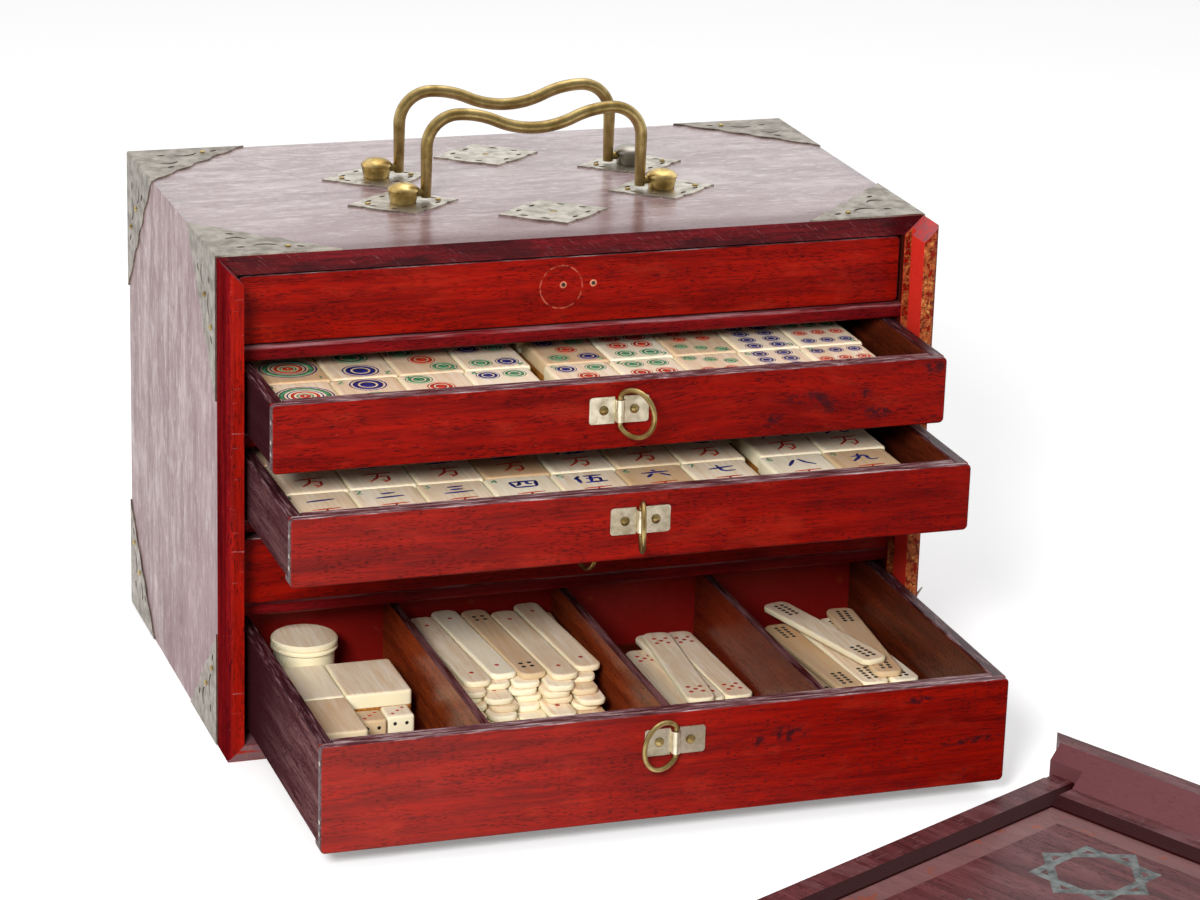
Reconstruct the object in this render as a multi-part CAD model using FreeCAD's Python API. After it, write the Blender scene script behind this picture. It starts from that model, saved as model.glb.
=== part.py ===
"""Case for a set of tile-game pieces: a mitred hardwood box with five drawers.

Two brass swan-neck bails stand on top. The sliding front cover is drawn off and lies on the
table at the front right. Millimetres, +Z up, front towards -Y, origin at the middle of the
footprint on the table. Drawers 2, 3 and 5 stand open.
"""
import FreeCAD, Part
import math
import os
from FreeCAD import Vector

# ---- driving dimensions -------------------------------------------------------------------
CASE_WIDTH = 248.0
CASE_DEPTH = 140.0          # front to back of the boards, without the moulding
BOARD = 6.5                 # top, bottom and sides
BACK_BOARD = 6.0
MOULDING = 15.0             # how far the moulding stands in front of the boards
LIP = 5.6                   # moulding seen from the front
MOULDING_ROUND = 2.2        # rounded outer front edge of the moulding
GROOVE_WIDTH = 4.0          # groove in the moulding for the sliding cover
GROOVE_DEPTH = 2.4
GROOVE_SET = 0.4            # groove to the front face of the boards

RAIL = 5.2                  # height of the rails between the drawers
RAIL_DEPTH = 18.0
RAIL_ROUND = 1.4
BAY = 24.6                  # clear height of each of the four upper bays
DEEP_BAY = 39.0             # clear height of the lowest bay
RUNNER_WIDTH = 7.0
RUNNER_GAP = 0.3            # running gap under the drawer sides

DRAWER_GAP_SIDE = 1.2       # each side of a drawer
DRAWER_GAP_TOP = 0.9
DEEP_GAP_TOP = 2.2          # above the deep drawer
DRAWER_GAP_BOTTOM = 0.5
DRAWER_GAP_BACK = 0.6
DRAWER_SET = 1.0            # closed drawer front behind the face of the boards
FRONT = 6.2                 # thickness of a drawer front
FRONT_TONGUE = 3.0          # what is left of the front beside a lapped side
FRONT_CORNER = 1.8          # worn corners of a drawer front
FRONT_EDGE = 0.7            # and its rounded edges
RIM_ROUND = 0.9             # rounded rims of the drawer walls
DRAWER_SIDE = 4.8
DRAWER_BOTTOM = 2.6
DEEP_DRAWER_BOTTOM = 5.0    # thicker in the lowest drawer
OVERHANG = 3.0              # drawer front below the sides
DIVIDER = 3.0
DIVIDER_DROP = 2.0          # dividers below the rim
DIVIDER_SHARES = (0.231, 0.503, 0.743)          # of the inside, from the left wall
DRAWERS = 5                 # counted from the top, and the last one is the deep one
PULL_OUT = (0.0, 45.2, 69.7, 4.0, 109.7)       # how far each stands open

PULL_PLATE_LENGTH = 20.5
PULL_PLATE_HEIGHT = 9.2
PULL_PLATE = 0.6
PULL_CORNER = 1.1
PULL_DROP = 9.6             # pull centre below the top of the drawer front
PULL_PIN_SPACING = 10.6
PULL_PIN_HEAD = 1.5         # radius
PULL_PIN_SHANK = 0.7        # radius
PULL_PIN_DOME = 0.7
PULL_PIN_DEPTH = 4.2        # in the drawer front
KNUCKLE_LENGTH = 7.6
RING_WIRE = 0.85            # radius
RING_RADIUS = 7.9           # to the middle of the wire
RING_CORNER = 2.2
RING_STRAIGHT = 4.4         # half of the straight part in the knuckle
RING_FIT = 0.08             # radial clearance in the knuckle
# Degrees from straight out, right is plus. The top drawer has lost its pull.
RING_SWING = (None, 36.0, -16.0, 10.0, -66.0)

POST_SPACING_X = 93.6
POST_SPACING_Y = 35.0
POST_RADIUS = 5.2
POST_HEIGHT = 5.0
POST_CAP_RADIUS = 5.7
POST_CAP_HEIGHT = 3.2
POST_BRIM = 0.8             # height of the cap's edge
POST_SHANK = 2.0            # radius
POST_SHANK_LENGTH = 5.0
POST_FIT = 0.05             # radial clearance of the shank
BAIL_WIRE = 2.1             # radius
BAIL_FOOT = 1.75            # radius of the tapered foot
BAIL_PIN = 1.4              # radius of the turned-out end
BAIL_PIN_FIT = 0.06         # radial clearance in the post
BAIL_PIN_REACH = 7.0        # turned-out end inside the post
BAIL_LEG_GAP = 0.8          # leg to post
BAIL_PIVOT = 3.0            # bail axis above the plates
BAIL_LEG = 18.7             # straight leg above the plates
BAIL_SHOULDER = 11.0        # bend radius at the shoulder
BAIL_DIP = 6.0              # how far the middle dips below the shoulders
FOOT_END = 1.8              # leg below the axis

PLATE = 0.6                 # sheet of the plates and corner mounts
PLATE_HALF_X = 19.6
PLATE_HALF_Y = 15.6
CENTRE_PLATE_SPACING = 80.0
MOUNT_LEG = 42.0
MOUNT_SIDE_LEG = 49.0
BOTTOM_MOUNT_LEG = 40.0
MOUNT_TIP = 3.5             # blunt end of each leg
MOUNT_TIP_WIDTH = 2.4
BENT_TIP_START = 22.0       # bent tip of the right front foot mount
BENT_TIP_WIDTH = 5.0
BENT_TIP_OUT = 8.0
BENT_TIP_RISE = 12.0
MOUNT_CLEAR = 0.4           # corner mounts above the table
SCALLOP = 0.8
OVAL = (3.2, -0.7, 1.4)       # pierced oval: length, bow of one side, and width
# Piercings of a wing: along one leg, along the other, length, angle, bow, width
MOUNT_SLOTS = ((10.0, 8.5, OVAL[0], 0.0, *OVAL[1:]), (10.0, 25.0, OVAL[0], -30.0, *OVAL[1:]),
               (10.5, 18.0, 7.2, -12.0, 1.6, 1.2), (18.5, 8.0, 9.0, -12.0, 1.8, 1.2),
               (29.5, 5.5, OVAL[0], -30.0, *OVAL[1:]))
PLATE_SLOTS = ((11.4, 3.2), (5.2, 8.2))         # ovals in each quarter of a lozenge
NOTCH_SHARES = (3.2, 1.3, 8.0, 1.3, 3.2)        # side of a lozenge plate, tip to tip
NOTCH_DEPTHS = (0.15, 0.6, -0.5, 0.6, 0.15)     # inwards is plus

TILE_WIDTH = 22.6
TILE_LENGTH = 29.4
TILE_THICK = 13.0
TILE_GAP = 0.3
TILE_ROW_GAP = 0.25
TILE_COLUMNS = 9
TILE_ROWS = 4
TILE_BREAK = 5.0            # gap after the fourth tile of a row
TILES_BEFORE_BREAK = 4
TILE_FRONT_GAP = 0.8
TILE_STAGGER = 1.5          # every other row to the right
SPARE_TILE_SET = 39.0       # first spare tile behind the front of the lowest drawer

BOX_RADIUS = 10.4
BOX_HEIGHT = 15.0
BOX_WALL = 1.8
BOX_LID_RADIUS = 11.4
BOX_LID = 4.2
BOX_BEAD = 1.2              # height of a turned bead
BOX_FOOT_RADIUS = 9.4
BOX_SET = 7.4               # lid to the side of the drawer
DIE = 9.4
DIE_GAP = 0.6
DIE_SETS = (5.0, 3.0)        # in front of the second row of spare tiles
COUNTER_LENGTH = 62.0
COUNTER_WIDTH = 9.4
COUNTER = 2.2               # thickness
WIDE_COUNTER = 10.2         # width of the wider ones
COUNTER_GAP = 0.5
COUNTER_STEP = 2.0          # neighbours don't line up at their ends
# Each layer: clearance to the wall on the left, how many, way in from the front, turn in degrees
MIDDLE_LAYERS = ((0.8, 5, 34.0, 0.0), (2.0, 5, 36.0, 0.0), (0.8, 5, 38.0, 1.0),
                 (3.5, 5, 40.0, -1.0), (1.0, 5, 43.0, 2.0), (4.0, 5, 46.0, -2.0),
                 (1.5, 5, 49.0, 1.5), (4.0, 5, 51.0, -2.3), (3.0, 5, 54.0, 3.6))
FLAT_LAYERS = ((19.0, 2, 46.0, -1.8), (26.6, 2, 56.0, 2.2), (24.1, 1, 55.4, -3.9))
RIGHT_LAYERS = ((18.0, 3, 46.0, 2.7), (28.0, 2, 30.0, 0.0), (19.0, 3, 50.0, 4.0),
                (38.7, 1, 57.0, -5.5), (21.4, 1, 57.2, 15.0))

COVER_FIT = 0.4             # cover in its grooves, each side
COVER_TONGUE = 3.2
COVER_FRAME = 5.5
COVER_STILE = 12.0
COVER_EDGE = 3.5            # width of the sloped inner edge
COVER_EDGE_LOW = 2.9
COVER_BEVEL_REACH = 5.0     # bar below the ends of the stiles
PANEL_LOW = 0.7
PANEL = 1.4
PANEL_TONGUE = 2.6
FIELD = 1.2
FIELD_MARGIN = 10.0
FIELD_BEVEL = 1.0
INLAY = 0.8
INLAY_SIZE = 15.0           # half of the square in each motif
INLAY_STRIP = 2.8
INLAY_ROWS = (0.31, 0.69)   # motifs along the length, as shares of it
INLAY_PLACE = 0.245         # motif from the side, as a share of the width
COVER_CORNER = (134.6, -164.7)
COVER_TURN = -63.1

# ---- worked out from them -------------------------------------------------------------------
HALF = CASE_WIDTH / 2
HEIGHT = 2 * BOARD + DEEP_BAY + (DRAWERS - 1) * (BAY + RAIL)
FACE = -(CASE_DEPTH + MOULDING) / 2 + MOULDING      # y of the front face of the boards
BACK = FACE + CASE_DEPTH
INNER = HALF - BOARD
BACK_INNER = BACK - BACK_BOARD
DRAWER_HALF = INNER - DRAWER_GAP_SIDE
DRAWER_INNER = DRAWER_HALF - DRAWER_SIDE
CLOSED = FACE + DRAWER_SET                          # y of a closed drawer's front face
PLATE_TOP = HEIGHT + PLATE
TOP_MIDDLE = (FACE + BACK) / 2
DRAWER_LENGTH = BACK_INNER - DRAWER_GAP_BACK - CLOSED
NUMBERS = range(1, DRAWERS + 1)


def bay_floor(number):
    """z of the floor of a bay, counted from the top."""
    if number == DRAWERS:
        return BOARD
    return BOARD + DEEP_BAY + RAIL + (DRAWERS - 1 - number) * (BAY + RAIL)


def bay_height(number):
    return DEEP_BAY if number == DRAWERS else BAY


def front_low(number):
    return bay_floor(number) + DRAWER_GAP_BOTTOM


def front_high(number):
    gap = DEEP_GAP_TOP if number == DRAWERS else DRAWER_GAP_TOP
    return bay_floor(number) + bay_height(number) - gap


def side_low(number):
    return front_low(number) + OVERHANG


def drawer_floor(number):
    return side_low(number) + (DEEP_DRAWER_BOTTOM if number == DRAWERS else DRAWER_BOTTOM)


def front_y(number):
    return CLOSED - PULL_OUT[number - 1]


# ---- helpers --------------------------------------------------------------------------------
def box(x0, x1, y0, y1, z0, z1):
    return Part.makeBox(x1 - x0, y1 - y0, z1 - z0, Vector(x0, y0, z0))


def prism(points, direction):
    """Straight-sided outline pushed along a direction."""
    face = Part.Face(Part.makePolygon(points + [points[0]]))
    return face.extrude(direction)


def prism_y(outline, y0, y1):
    return prism([Vector(x, y0, z) for x, z in outline], Vector(0, y1 - y0, 0))


def prism_x(outline, x0, x1):
    return prism([Vector(x0, y, z) for y, z in outline], Vector(x1 - x0, 0, 0))


def prism_z(outline, z0, z1):
    return prism([Vector(x, y, z0) for x, y in outline], Vector(0, 0, z1 - z0))


def mirrored_x(shape):
    return shape.mirror(Vector(0, 0, 0), Vector(1, 0, 0))


def mirrored_y(shape, y):
    return shape.mirror(Vector(0, y, 0), Vector(0, 1, 0))


def turned(shape, centre, axis, degrees):
    copy = shape.copy()
    copy.rotate(centre, axis, degrees)
    return copy


def export(name, *solids):
    shape = solids[0] if len(solids) == 1 else Part.makeCompound(list(solids))
    shape.exportStep("parts/%s.step" % name)


# ---- the mitred box -------------------------------------------------------------------------
def side_outline():
    """Left side from the front, its top and bottom cut to the mitre."""
    return [(-HALF, 0), (-INNER, BOARD), (-INNER, HEIGHT - BOARD), (-HALF, HEIGHT)]


def bottom_outline():
    """Bottom from the front, between the mitres."""
    return [(-HALF, 0), (HALF, 0), (INNER, BOARD), (-INNER, BOARD)]


def post_places():
    return [(sx * POST_SPACING_X / 2, TOP_MIDDLE + sy * POST_SPACING_Y / 2)
            for sy in (-1, 1) for sx in (-1, 1)]


def make_box():
    side = prism_y(side_outline(), FACE, BACK)
    bottom = prism_y(bottom_outline(), FACE, BACK)
    export("left_side", side)
    export("right_side", mirrored_x(side))
    export("bottom_board", bottom)
    top = bottom.mirror(Vector(0, 0, HEIGHT / 2), Vector(0, 0, 1))
    for x, y in post_places():
        start = Vector(x, y, HEIGHT - POST_SHANK_LENGTH)
        top = top.cut(Part.makeCylinder(POST_SHANK + POST_FIT, POST_SHANK_LENGTH, start))
    export("top_board", top)
    export("back_board", box(-INNER, INNER, BACK_INNER, BACK, BOARD, HEIGHT - BOARD))


def make_rails():
    """Four rails with rounded front edges, and the runners that carry the drawer sides."""
    for number in NUMBERS[:-1]:
        high = bay_floor(number)
        rail = box(-INNER, INNER, FACE, FACE + RAIL_DEPTH, high - RAIL, high)
        front_edges = [e for e in rail.Edges
                       if abs(e.BoundBox.YMax - FACE) < 1e-6 and e.BoundBox.XLength > RAIL]
        export("rail_%d" % number, rail.makeFillet(RAIL_ROUND, front_edges))
    runners = []
    for number in NUMBERS:
        floor = bay_floor(number)
        top = side_low(number) - RUNNER_GAP
        start = CLOSED + FRONT + DRAWER_SET
        behind = FACE + RAIL_DEPTH
        if number == DRAWERS:
            outline = [(start, floor), (BACK_INNER, floor), (BACK_INNER, top), (start, top)]
        else:
            outline = [(start, floor), (behind, floor), (behind, floor - RAIL),
                       (BACK_INNER, floor - RAIL), (BACK_INNER, top), (start, top)]
        left = prism_x(outline, -INNER, -INNER + RUNNER_WIDTH)
        runners += [left, mirrored_x(left)]
    export("drawer_runners", *runners)


def make_moulding():
    """Grooved moulding up both sides and along the bottom, mitred at the corners."""
    front = FACE - MOULDING
    groove_back = FACE - GROOVE_SET
    groove_front = groove_back - GROOVE_WIDTH
    groove_floor = HALF - BOARD + GROOVE_DEPTH
    side = prism_y(side_outline(), front, FACE)
    lip = BOARD - LIP
    side = side.cut(box(-INNER - lip, -INNER, front, groove_front, 0, HEIGHT))
    side = side.cut(box(-groove_floor, -INNER, groove_front, groove_back,
                        BOARD - GROOVE_DEPTH, HEIGHT))
    outer = [e for e in side.Edges if e.BoundBox.ZLength > HEIGHT / 2
             and abs(e.BoundBox.XMax + HALF) < 1e-6 and abs(e.BoundBox.YMax - front) < 1e-6]
    side = side.makeFillet(MOULDING_ROUND, outer)
    export("left_moulding", side)
    export("right_moulding", mirrored_x(side))
    bottom = prism_y(bottom_outline(), front, FACE)
    bottom = bottom.cut(box(-HALF, HALF, front, groove_front, BOARD - lip, BOARD))
    bottom = bottom.cut(box(-groove_floor, groove_floor, groove_front, groove_back,
                            BOARD - GROOVE_DEPTH, BOARD))
    export("bottom_moulding", bottom)


# ---- sheet metal ----------------------------------------------------------------------------
def bulged(start, end, depth):
    """Arc between two flat points that bulges to the left of the way by a depth."""
    middle = (start + end) * 0.5
    way = end - start
    left = Vector(-way.y, way.x, 0).normalize()
    return Part.Arc(start, middle + left * depth, end).toShape()


def scalloped(start, end, shares, depths):
    """Arcs in a row between two points: each takes its share of the way."""
    edges = []
    total = sum(shares)
    done = 0.0
    for share, depth in zip(shares, depths):
        first = start + (end - start) * (done / total)
        done += share
        last = start + (end - start) * (done / total)
        edges.append(bulged(first, last, depth))
    return edges


def line(start, end):
    return Part.LineSegment(start, end).toShape()


def crescent(centre, length, degrees, depth, thick):
    """Curved slot that points along an angle."""
    along = Vector(math.cos(math.radians(degrees)), math.sin(math.radians(degrees)), 0)
    first = centre - along * (length / 2)
    last = centre + along * (length / 2)
    wire = Part.Wire([bulged(first, last, depth + thick), bulged(last, first, -depth)])
    return Part.Face(wire)


def sheet(edges, slots, thickness):
    face = Part.Face(Part.Wire(edges))
    for slot in slots:
        face = face.cut(slot)
    return face.extrude(Vector(0, 0, thickness))


def mount_wing(leg_a, leg_b):
    """Triangular wing of a corner mount: legs along +X and +Y, scalloped long side."""
    tip_a = Vector(leg_a, 0, 0)
    tip_b = Vector(0, leg_b, 0)
    low = Vector(leg_a - MOUNT_TIP, MOUNT_TIP_WIDTH, 0)
    high = Vector(MOUNT_TIP_WIDTH, leg_b - MOUNT_TIP, 0)
    shares = (3.0, 1.2, 2.0, 1.2, 2.0, 1.2, 3.0)
    depths = [-SCALLOP * d for d in (0.9, -0.5, 0.9, -0.5, 0.9, -0.5, 0.9)]
    edges = [line(Vector(0, 0, 0), tip_a), line(tip_a, low)]
    edges += scalloped(low, high, shares, depths)
    edges += [line(high, tip_b), line(tip_b, Vector(0, 0, 0))]
    slots = [crescent(Vector(a, b, 0), *shape) for a, b, *shape in MOUNT_SLOTS]
    return sheet(edges, slots, PLATE)


def top_corner_mount():
    """Front left mount: one wing on the top board, one down the side, bent over the edge."""
    top = mount_wing(MOUNT_LEG, MOUNT_LEG)
    top.translate(Vector(-HALF, FACE, HEIGHT))
    side = mount_wing(MOUNT_SIDE_LEG, MOUNT_LEG)
    side.rotate(Vector(0, 0, 0), Vector(0, 1, 0), 90)
    side.translate(Vector(-HALF - PLATE, FACE, HEIGHT))
    bend = Part.makeCylinder(PLATE, MOUNT_LEG, Vector(-HALF, FACE, HEIGHT), Vector(0, 1, 0), 90)
    bend = turned(bend, Vector(-HALF, FACE, HEIGHT), Vector(0, 1, 0), -90)
    return top.fuse([side, bend]).removeSplitter()


def bottom_corner_mount():
    """Front left mount at the foot of the side."""
    side = mount_wing(BOTTOM_MOUNT_LEG, BOTTOM_MOUNT_LEG)
    side.rotate(Vector(0, 0, 0), Vector(0, 1, 0), -90)
    side.translate(Vector(-HALF, FACE, MOUNT_CLEAR))
    return side


def bent_corner_mount(foot):
    """Foot mount at the right front, whose upper tip has been bent away from the side."""
    side = mirrored_x(foot).cut(box(HALF, HALF + PLATE, FACE, FACE + MOUNT_TIP_WIDTH * 3,
                                    BENT_TIP_START, HEIGHT))
    root = Vector(HALF, FACE, BENT_TIP_START - PLATE)
    back = root + Vector(0, BENT_TIP_WIDTH, 0)
    tip = root + Vector(BENT_TIP_OUT, BENT_TIP_WIDTH / 4, BENT_TIP_RISE)
    leaf = Part.Face(Part.makePolygon([root, back, tip, root])).extrude(Vector(PLATE, 0, 0))
    return side.fuse(leaf).removeSplitter()


def lozenge(hole):
    """Notched lozenge plate with eight pierced ovals and, for a post, a hole in the middle."""
    tips = [Vector(PLATE_HALF_X, 0, 0), Vector(0, PLATE_HALF_Y, 0),
            Vector(-PLATE_HALF_X, 0, 0), Vector(0, -PLATE_HALF_Y, 0)]
    edges = []
    for first, last in zip(tips, tips[1:] + tips[:1]):
        edges += scalloped(first, last, NOTCH_SHARES, NOTCH_DEPTHS)
    slots = []
    for sx in (-1, 1):
        for sy in (-1, 1):
            slope = math.degrees(math.atan2(-sy * PLATE_HALF_Y, sx * PLATE_HALF_X))
            slots += [crescent(Vector(sx * x, sy * y, 0), OVAL[0], slope, *OVAL[1:])
                      for x, y in PLATE_SLOTS]
    if hole:
        slots.append(Part.Face(Part.Wire(Part.makeCircle(hole, Vector(0, 0, 0)))))
    return sheet(edges, slots, PLATE)


def make_plates():
    left_front = top_corner_mount()
    left_back = mirrored_y(left_front, TOP_MIDDLE)
    export("top_mount_front_left", left_front)
    export("top_mount_back_left", left_back)
    export("top_mount_front_right", mirrored_x(left_front))
    export("top_mount_back_right", mirrored_x(left_back))
    foot = bottom_corner_mount()
    back_foot = mirrored_y(foot, TOP_MIDDLE)
    export("bottom_corner_mounts", foot, back_foot, mirrored_x(back_foot), bent_corner_mount(foot))
    plates = []
    for x, y in post_places():
        plate = lozenge(POST_SHANK + POST_FIT)
        plate.translate(Vector(x, y, HEIGHT))
        plates.append(plate)
    export("handle_plates", *plates)
    centre = []
    for sign in (-1, 1):
        plate = lozenge(0)
        plate.translate(Vector(0, TOP_MIDDLE + sign * CENTRE_PLATE_SPACING / 2, HEIGHT))
        centre.append(plate)
    export("centre_plates", *centre)


# ---- posts and bails ------------------------------------------------------------------------
def post(x, y):
    """Brass post with a domed cap, a shank in the top board and a cross hole for the bail."""
    low = HEIGHT - POST_SHANK_LENGTH
    neck = PLATE_TOP + POST_HEIGHT
    brim = neck + POST_BRIM
    top = neck + POST_CAP_HEIGHT
    outline = [(0, low), (POST_SHANK, low), (POST_SHANK, PLATE_TOP), (POST_RADIUS, PLATE_TOP),
               (POST_RADIUS, neck), (POST_CAP_RADIUS, neck + POST_BRIM / 2),
               (POST_CAP_RADIUS, brim)]
    points = [Vector(0, y, z) for y, z in outline]
    edges = [line(first, last) for first, last in zip(points, points[1:])]
    rise = top - brim
    radius = (POST_CAP_RADIUS ** 2 + rise ** 2) / (2 * rise)
    half = math.asin(POST_CAP_RADIUS / radius) / 2
    shoulder = Vector(0, radius * math.sin(half), top - radius + radius * math.cos(half))
    summit = Vector(0, 0, top)
    edges += [Part.Arc(points[-1], shoulder, summit).toShape(), line(summit, points[0])]
    body = Part.Face(Part.Wire(edges)).revolve(Vector(0, 0, 0), Vector(0, 0, 1), 360)
    body.translate(Vector(x, y, 0))
    inward = -1 if x > 0 else 1
    past = BAIL_PIN_REACH + BAIL_PIN_FIT - POST_RADIUS
    end = Vector(x - inward * past, y, PLATE_TOP + BAIL_PIVOT)
    bore = Part.makeCylinder(BAIL_PIN + BAIL_PIN_FIT, CASE_WIDTH / 4, end, Vector(inward, 0, 0))
    return body.cut(bore)


def bail(y):
    """Swan-neck bail: tapered legs, round shoulders and a dipped grip, ends turned outwards."""
    pivot = PLATE_TOP + BAIL_PIVOT
    leg_x = POST_SPACING_X / 2 - POST_RADIUS - BAIL_LEG_GAP - BAIL_WIRE
    leg_top = PLATE_TOP + BAIL_LEG
    peak_x = leg_x - BAIL_SHOULDER
    peak_z = leg_top + BAIL_SHOULDER
    bend = 2 * math.atan2(BAIL_DIP, peak_x)
    radius = peak_x / 2 / math.sin(bend)

    def at(x, z):
        return Vector(x, y, z)

    def arc(cx, cz, r, first, last):
        points = [at(cx + r * math.cos(a), cz + r * math.sin(a))
                  for a in (first, (first + last) / 2, last)]
        return Part.Arc(*points).toShape()

    quarter = math.pi / 2
    dip_z = peak_z - BAIL_DIP
    path = Part.Wire([
        arc(peak_x, leg_top, BAIL_SHOULDER, 0, quarter),
        arc(peak_x, peak_z - radius, radius, quarter, quarter + bend),
        arc(0, dip_z + radius, radius, -quarter + bend, -quarter - bend),
        arc(-peak_x, peak_z - radius, radius, quarter - bend, quarter),
        arc(-peak_x, leg_top, BAIL_SHOULDER, quarter, 2 * quarter)])
    profile = Part.Wire(Part.makeCircle(BAIL_WIRE, at(leg_x, leg_top), Vector(0, 0, 1)))
    grip = path.makePipeShell([profile], True, False)
    foot = pivot - FOOT_END
    leg = Part.makeCone(BAIL_FOOT, BAIL_WIRE, leg_top - foot, at(leg_x, foot), Vector(0, 0, 1))
    reach = POST_SPACING_X / 2 - POST_RADIUS + BAIL_PIN_REACH - leg_x
    pin = Part.makeCylinder(BAIL_PIN, reach, at(leg_x, pivot), Vector(1, 0, 0))
    right = leg.fuse(pin)
    return grip.fuse([right, mirrored_x(right)]).removeSplitter()


def make_handles():
    export("handle_posts", *[post(x, y) for x, y in post_places()])
    export("front_bail", bail(TOP_MIDDLE - POST_SPACING_Y / 2))
    export("back_bail", bail(TOP_MIDDLE + POST_SPACING_Y / 2))


# ---- drawers --------------------------------------------------------------------------------
def softened(front, y):
    """Drawer front with its four corners and the edges of its face rounded."""
    corners = [e for e in front.Edges if e.BoundBox.YMin - y < 1e-6 < e.BoundBox.YLength]
    front = front.makeFillet(FRONT_CORNER, corners)
    face_edges = [e for e in front.Edges if e.BoundBox.YMax - y < 1e-6]
    return front.makeFillet(FRONT_EDGE, face_edges)


def rounded_rim(wall):
    """Wall of a drawer with the two long edges of its rim rounded."""
    top = wall.BoundBox.ZMax
    long_side = max(wall.BoundBox.XLength, wall.BoundBox.YLength)
    rim = [e for e in wall.Edges if top - e.BoundBox.ZMin < 1e-6
           and e.BoundBox.DiagonalLength > long_side - 1e-6]
    return wall.makeFillet(RIM_ROUND, rim)


def drawer_front(number, pins):
    y = front_y(number)
    front = box(-DRAWER_HALF, DRAWER_HALF, y, y + FRONT, front_low(number), front_high(number))
    for sign in (-1, 1):
        inner, outer = sorted((sign * DRAWER_INNER, sign * DRAWER_HALF))
        front = front.cut(box(inner, outer, y + FRONT_TONGUE, y + FRONT,
                              side_low(number), front_high(number)))
    front = softened(front, y)
    for place in pins:
        front = front.cut(Part.makeCylinder(PULL_PIN_SHANK, PULL_PIN_DEPTH, place, Vector(0, 1, 0)))
    return front


def drawer_walls(number):
    y = front_y(number)
    back = y + DRAWER_LENGTH
    low, high = side_low(number), front_high(number)
    left = rounded_rim(box(-DRAWER_HALF, -DRAWER_INNER, y + FRONT_TONGUE, back, low, high))
    end = rounded_rim(box(-DRAWER_INNER, DRAWER_INNER, back - DRAWER_SIDE, back, low, high))
    return [left, mirrored_x(left), end]


def divider_places():
    return [2 * DRAWER_INNER * share - DRAWER_INNER for share in DIVIDER_SHARES]


def pull_pin_places(number):
    z = front_high(number) - PULL_DROP
    return [Vector(sign * PULL_PIN_SPACING / 2, front_y(number), z) for sign in (-1, 1)]


def make_drawers():
    for number in NUMBERS:
        y = front_y(number)
        export("drawer_%d_front" % number, drawer_front(number, pull_pin_places(number)))
        export("drawer_%d_walls" % number, *drawer_walls(number))
        export("drawer_%d_bottom" % number,
               box(-DRAWER_INNER, DRAWER_INNER, y + FRONT, y + DRAWER_LENGTH - DRAWER_SIDE,
                   side_low(number), drawer_floor(number)))
    y = front_y(DRAWERS)
    dividers = [box(x - DIVIDER / 2, x + DIVIDER / 2, y + FRONT, y + DRAWER_LENGTH - DRAWER_SIDE,
                    drawer_floor(DRAWERS), front_high(DRAWERS) - DIVIDER_DROP)
                for x in divider_places()]
    export("drawer_%d_dividers" % DRAWERS, *dividers)


# ---- ring pulls -----------------------------------------------------------------------------
def ring_axis(number):
    """Middle of the knuckle, on the axis that the ring swings on."""
    set_out = RING_WIRE + RING_FIT + PULL_PLATE
    return Vector(0, front_y(number) - set_out, front_high(number) - PULL_DROP)


def pull_plate(number):
    """Nickel strip folded round a knuckle, held by two round-headed pins."""
    axis = ring_axis(number)
    y = front_y(number)
    half = PULL_PLATE_LENGTH / 2
    low = axis.z - PULL_PLATE_HEIGHT / 2
    high = axis.z + PULL_PLATE_HEIGHT / 2
    strip = box(-half, half, y - PULL_PLATE, y, low, high)
    corners = [e for e in strip.Edges if e.BoundBox.YLength > 0 and e.BoundBox.XLength < 1e-6]
    strip = strip.makeFillet(PULL_CORNER, corners)
    bore = RING_WIRE + RING_FIT
    wrap = bore + PULL_PLATE
    notch = (PULL_PLATE_HEIGHT - KNUCKLE_LENGTH) / 2
    for z in (low, high - notch):
        strip = strip.cut(box(-wrap, wrap, y - PULL_PLATE, y, z, z + notch))
    foot = Vector(0, axis.y, low + notch)
    plate = strip.fuse(Part.makeCylinder(wrap, KNUCKLE_LENGTH, foot))
    plate = plate.cut(Part.makeCylinder(bore, KNUCKLE_LENGTH, foot)).removeSplitter()
    for place in pull_pin_places(number):
        start = place - Vector(0, PULL_PLATE, 0)
        plate = plate.cut(Part.makeCylinder(PULL_PIN_SHANK, PULL_PLATE, start, Vector(0, 1, 0)))
    return plate


def pull_pin(place):
    """Round-headed pin through the plate into the drawer front."""
    start = place - Vector(0, PULL_PLATE + PULL_PIN_DOME, 0)
    length = PULL_PIN_DOME + PULL_PLATE + PULL_PIN_DEPTH
    shank = Part.makeCylinder(PULL_PIN_SHANK, length, start, Vector(0, 1, 0))
    dome = Part.makeCone(PULL_PIN_HEAD * 0.6, PULL_PIN_HEAD, PULL_PIN_DOME, start, Vector(0, 1, 0))
    return dome.fuse(shank).removeSplitter()


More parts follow.
